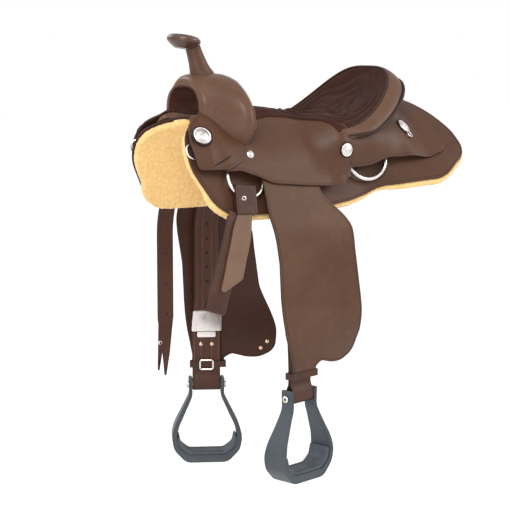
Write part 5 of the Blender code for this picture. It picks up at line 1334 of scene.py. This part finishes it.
def make_billet():
    """Two layers of strap over the ring, with their holes, two eyelets and a row of thread."""
    outer = outline([
        (-0.2080, 0.1680, 0.003), (-0.2080, 0.4700, 0.030), (-0.1980, 0.5300, 0.020),
        (-0.1905, 0.6060, 0.002), (-0.1790, 0.5450, 0.020), (-0.1700, 0.4700, 0.030),
        (-0.1700, 0.1680, 0.003)])
    inner = outline([
        (-0.2080, 0.1680, 0.003), (-0.2085, 0.4700, 0.030), (-0.2120, 0.6020, 0.002),
        (-0.1990, 0.5350, 0.020), (-0.1720, 0.4700, 0.010), (-0.1720, 0.1680, 0.003)])
    outside, inside, thick = 0.0306, 0.0226, 0.0038

    def place(x, t, w):
        return hang(x, t, w, "off", False)

    def top(x, t):
        """Outer face: 7 mm further out where the strap passes over the ring."""
        return outside + 0.0070 - 0.0070 * ease((t - 0.202) / 0.020)

    def between(x, t):
        return top(x, t) - thick
    laid(panel("billet_outer", MAT["strap"], outer, between, top, place, 0.008, 0.0012), "billet",
         "off_billet")
    laid(panel("billet_inner", MAT["strap"], inner, level(inside), lambda x, t: between(x, t) - 0.0006,
               place, 0.008, 0.0012), "billet")
    holes = [(-0.189, t, w, sign) for w, sign in ((outside, 1), (inside, -1)) for t in (0.330, 0.395, 0.461)]
    ringed = [(-0.1905, 0.524, outside, 1), (-0.2060, 0.520, inside, -1)]
    for x, t, w, sign in holes + ringed:
        at = place(x, t, w)
        normal = (place(x, t, w + 0.002) - at) * sign
        label = f"{'outer' if sign > 0 else 'inner'}_{round(t * 1000)}"
        # Each hole is a dark disc of painted shade.
        disc(f"billet_hole_{label}", MAT["hole"], "billet", at, normal,
             [(0.0, 0.0002), (0.0026, 0.0002), (0.0030, -0.0003)], 20)
        if (x, t, w, sign) in ringed:
            disc(f"billet_eyelet_{label}", MAT["steel"], "billet", at, normal,
                 [(0.0024, -0.0004), (0.0026, 0.0010), (0.0038, 0.0012), (0.0050, -0.0003)], 28)
    seam("billet_seam", outer, 0.0040, place, top, "billet", MAT["thread"], lambda x, t: 0.230 < t < 0.50)


def make_rings(name, side):
    """Rigging ring, rear dee and breast collar ring of one side."""
    circle = circle_points(ring_matrix(side), RING_RADIUS)
    laid(tube(f"rig_ring_{name}", MAT["steel"], circle, RING_WIRE, True, 20),
         "latigo" if name == "near" else "billet", f"front_rig_ring_{name}")
    front, rear = form(DEE_FRONT, DEE_DOWN, 0.0305, side), form(DEE_REAR, DEE_DOWN, 0.0305, side)
    middle = (DEE_FRONT + DEE_REAR) / 2
    foot = form(middle, 0.183, 0.0312, side)
    normal = np.cross(rear - front, foot - front) * -side
    dee = frame_at((front + rear) / 2, normal, rear - front)
    down = np.sign((dee.inverted() @ Vector(form(middle, 0.193, 0.0300, side))).y)
    a = np.linspace(0, pi, 64)
    arc = np.stack([DEE_RADIUS * np.cos(a), down * DEE_REACH * np.sin(a), np.zeros(64)], -1)
    laid(tube(f"rear_rig_dee_{name}", MAT["steel"], moved(arc, dee), DEE_WIRE, sides=18), f"rear_dee_{name}",
         f"rear_dee_{name}")
    normal = np.cross(form(-0.291, 0.112, 0.02, side) - form(-0.293, 0.112, 0.02, side),
                      form(-0.292, 0.113, 0.02, side) - form(-0.292, 0.111, 0.02, side)) * -side
    low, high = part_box(f"breast_dee_{name}")
    circle = circle_points(frame_at(Vector(low + high) / 2, normal), BREAST_RADIUS, 64)
    laid(tube(f"breast_ring_{name}", MAT["steel"], circle, BREAST_WIRE, True, 14), "saddle",
         f"breast_dee_{name}")


make_latigo()
make_billet()
for name, side in SIDES.items():
    make_rings(name, side)

# %% [markdown]
# ## Conchos
# Plated conchos with a raised rope border and petals, each on a scalloped leather washer.

# %%
def seated(x, s, height, side, radius):
    """Matrix of a round piece seated on a jockey, lifted to clear the highest point under its rim."""
    def top(u, v):
        return form(u, v, height(u, v) + JOCKEY, side)
    point = top(x, s)
    normal = np.cross(top(x + 0.004, s) - point, top(x, s + 0.004) - point)
    normal *= side * np.sign(normal[1]) / np.linalg.norm(normal)
    a = np.arange(24) * pi / 12
    lift = max(0.0, max(float(((top(x + r * np.cos(a), s + r * np.sin(a)) - point) @ normal).max())
                        for r in (0.35 * radius, 0.7 * radius, radius)))
    return frame_at(point + normal * (lift + 0.0003), normal)


CONCHO = [(0.0, 1.0), (0.12, 0.99), (0.30, 0.90), (0.50, 0.74), (0.66, 0.54), (0.78, 0.36), (0.86, 0.34),
          (0.93, 0.42), (0.985, 0.30), (1.0, 0.12), (0.98, 0.0)]
AROUND = 144


def petals(a):
    """Twelve petals: the size of the sine of six times the angle."""
    return np.abs(np.sin(6 * a))


def make_concho(name, x, s, height, side, radius, rise):
    """Concho seated on its jockey: domed plate with engraving, on a scalloped washer. Returns its matrix."""
    matrix = seated(x, s, height, side, radius)
    profile = spline([(across * radius, up * rise) for across, up in CONCHO], 64)

    def engraved(r, z, a):
        """Petals between the middle and the rope border, 0.35 mm deep, and a ring of beads 0.4 mm deep."""
        share = r / radius
        beads = (0.5 + 0.5 * np.cos(36 * a + 30 * share)) * ease((share - 0.82) / 0.05)
        beads = beads * (1 - ease((share - 0.95) / 0.05))
        shape = petals(a) * ease((share - 0.16) / 0.14) * (1 - ease((share - 0.62) / 0.12))
        cut = (1 - shape) * ease((share - 0.16) / 0.1) * (1 - ease((share - 0.7) / 0.06))
        return r, z - 0.00035 * cut - 0.0004 * beads
    plate = turned(f"{name}_plate", MAT["steel"], profile, matrix, AROUND, engraved)
    share = np.repeat(profile[:, 0] / radius, AROUND)
    a = np.tile(np.arange(AROUND) * 2 * pi / AROUND, len(profile))
    age = (1 - petals(a)) ** 2 * ease((share - 0.18) / 0.1) * (1 - ease((share - 0.68) / 0.08)) * 0.85
    age += np.exp(-((share - 0.79) / 0.035) ** 2) * 0.8
    write_values(plate.data, "age", np.clip(age, 0, 1))
    laid(plate, "saddle", name)
    washer = [(radius * 0.7, 0.0010), (radius * 1.04, 0.0011), (radius * 1.14, 0.0007),
              (radius * 1.17, -0.0004)]

    def scallops(r, z, a):
        """Sixteen lobes on the washer's edge, each 4.5 % of the radius."""
        grow = ease((r / radius - 0.95) / 0.15)
        return r * (1 + 0.045 * grow * np.abs(np.sin(8 * a))), z
    laid(turned(f"{name}_washer", MAT["rosette"], washer, matrix, AROUND, scallops), "saddle")
    return matrix


def make_clip(name, side, matrix):
    """Ring that hangs from the rear concho, in the concho's own plane."""
    low = matrix.inverted() @ Vector(form(0.216, 0.140, 0.045, side))
    link = outline([(-0.0065, 0.0172, 0.004), (0.0065, 0.0172, 0.004), (0.0075, 0.0300, 0.006),
                    (-0.0075, 0.0300, 0.006)], 0.0012)
    points = np.stack([link[:, 0], np.sign(low.y) * link[:, 1], np.full(len(link), 0.0022)], -1)
    clip = tube(f"hanging_clip_{name}", MAT["steel"], moved(points, matrix), 0.0014, True, 12)
    laid(clip, f"clip_{name}", f"clip_ring_{name}")


def make_stud(name, side):
    """Small plain dome near the front of the seat jockey."""
    dome = spline([(0.0, 0.0036), (0.0030, 0.0033), (0.0056, 0.0023), (0.0076, 0.0010), (0.0085, 0.0)], 20)
    stud = seated(-0.176, 0.117, seat_height, side, 0.0085)
    laid(turned(f"stud_{name}", MAT["steel"], dome, stud), "saddle")


def make_slot(name, side):
    """Slot across the front jockey as a dark tube of painted shade, drawn to a round end at both sides."""
    front, rear = np.array([-0.262, 0.1385]), np.array([-0.224, 0.1215])
    row = front + (rear - front) * np.linspace(0, 1, 30)[:, None]
    points = form(row[:, 0], row[:, 1], front_height(row[:, 0], row[:, 1]) + JOCKEY - 0.0007, side)
    radius = 0.0017 * np.sqrt(np.clip(1 - np.linspace(-1, 1, 30) ** 8, 0.05, 1))
    laid(tube(f"jockey_slot_{name}", MAT["hole"], points, radius, sides=10), "saddle")


for name, side in SIDES.items():
    make_concho(f"front_concho_{name}", -0.272, 0.090, front_height, side, 0.0185, 0.0060)
    make_concho(f"seat_concho_{name}", 0.037, 0.127, seat_height, side, 0.0135, 0.0050)
    rear = make_concho(f"rear_concho_{name}", 0.216, 0.110, rear_height, side, 0.0160, 0.0055)
    make_clip(name, side, rear)
    make_stud(name, side)
for name, side in SIDES.items():
    make_slot(name, side)

# %% [markdown]
# ## Frame pieces that stay
# Hard pieces keep the frame's own solid, with broken edges and a finish.

# %%
BROKEN = 0.0006
SINGLE = {
    "tree_fork": ("wood", BROKEN), "tree_cantle": ("wood", BROKEN), "ground_seat": ("plain dark", BROKEN)}
PAIRED = {
    "tree_bar": ("wood", BROKEN), "hobble_strap": ("plain dark", BROKEN), "hobble_buckle": ("steel", BROKEN),
    "stirrup": ("composite", 0.0022), "stirrup_bolt": ("steel", BROKEN), "tread_pad": ("rubber", 0.0014),
    "front_rig_strap": ("plain strap", BROKEN), "rear_rig_strap": ("plain strap", BROKEN)}


def finish_kept(node, mat, width):
    """Finish and broken edges of a piece of the frame."""
    obj = NODES[node]
    obj.data.materials.clear()
    obj.data.materials.append(MAT[mat])
    bevel = obj.modifiers.new("broken edges", 'BEVEL')
    bevel.width = width
    bevel.segments = 3
    bevel.limit_method = 'ANGLE'
    bevel.angle_limit = radians(35)
    bevel.harden_normals = True
    obj.data.shade_smooth()
    obj.data.set_sharp_from_angle(angle=radians(35))


for node, (mat, width) in SINGLE.items():
    finish_kept(node, mat, width)
for piece, (mat, width) in PAIRED.items():
    for name in SIDES:
        finish_kept(f"{piece}_{name}", mat, width)

# %% [markdown]
# ## Camera and light

# %%
FLOOR_Z = -0.7985
LIGHTS = (
    ("key light", (-1.6, -1.9, 2.1), (0.0, 0.0, -0.1), 1.3, 58.0),
    ("side light", (2.2, -1.8, 1.2), (0.0, 0.0, -0.2), 1.4, 34.0),
    ("back light", (-1.2, 2.2, 1.6), (0.0, 0.0, 0.0), 1.4, 34.0),
    ("low light", (-2.2, -1.6, -0.2), (-0.1, 0.0, -0.4), 1.2, 12.0))


def make_floor():
    """White floor that glows a little, so that it stays white to its far edge and still takes a shadow."""
    bpy.ops.mesh.primitive_plane_add(size=30.0, location=(0.0, 0.0, FLOOR_Z))
    floor = bpy.context.object
    floor.name = "floor"
    p = Paint("pale floor", 0.9)
    p.finish(p.mix(p.noise(0.6), (252, 252, 252), (255, 255, 255)))
    shine = p.tree.nodes.new("ShaderNodeEmission")
    shine.inputs["Strength"].default_value = 1.18
    shine.inputs["Color"].default_value = (1.0, 1.0, 1.0, 1.0)
    both = p.tree.nodes.new("ShaderNodeMixShader")
    both.inputs[0].default_value = 0.72
    p.tree.links.new(p.shader.outputs[0], both.inputs[1])
    p.tree.links.new(shine.outputs[0], both.inputs[2])
    p.tree.links.new(both.outputs[0], p.tree.nodes["Material Output"].inputs["Surface"])
    floor.data.materials.append(p.material)


def make_room(scene):
    """White surroundings: full white to the camera, three quarters of that as light."""
    world = bpy.data.worlds.new("studio")
    scene.world = world
    world.use_nodes = True
    tree = world.node_tree
    back = tree.nodes["Background"]
    ray = tree.nodes.new("ShaderNodeLightPath")
    mix = tree.nodes.new("ShaderNodeMix")
    mix.inputs[2].default_value = 0.75
    mix.inputs[3].default_value = 1.0
    tree.links.new(ray.outputs["Is Camera Ray"], mix.inputs[0])
    tree.links.new(mix.outputs[0], back.inputs["Strength"])
    back.inputs["Color"].default_value = (1.0, 1.0, 1.0, 1.0)


def make_camera(scene):
    """The photograph's camera: a long lens, 35 degrees towards the front and 8 degrees up."""
    az, el, away = radians(-35.0), radians(8.0), 3.2
    target = Vector((-0.0755, 0.0, -0.240))
    camera = bpy.data.objects.new("camera", bpy.data.cameras.new("camera"))
    camera.data.lens, camera.data.sensor_width = 109.55, 36.0
    camera.location = target + away * Vector((sin(az) * cos(el), -cos(az) * cos(el), sin(el)))
    camera.rotation_euler = (target - camera.location).to_track_quat('-Z', 'Y').to_euler()
    scene.collection.objects.link(camera)
    scene.camera = camera


def make_stage(scene):
    make_floor()
    make_room(scene)
    for name, place, target, size, power in LIGHTS:
        data = bpy.data.lights.new(name, 'AREA')
        data.energy, data.size = power, size
        lamp = bpy.data.objects.new(name, data)
        lamp.location = place
        lamp.rotation_euler = (Vector(target) - Vector(place)).to_track_quat('-Z', 'Y').to_euler()
        scene.collection.objects.link(lamp)
    make_camera(scene)
    scene.render.engine = 'CYCLES'
    scene.render.resolution_x = scene.render.resolution_y = 510
    scene.view_settings.view_transform = 'Standard'
    scene.view_settings.look = 'None'


make_stage(bpy.context.scene)
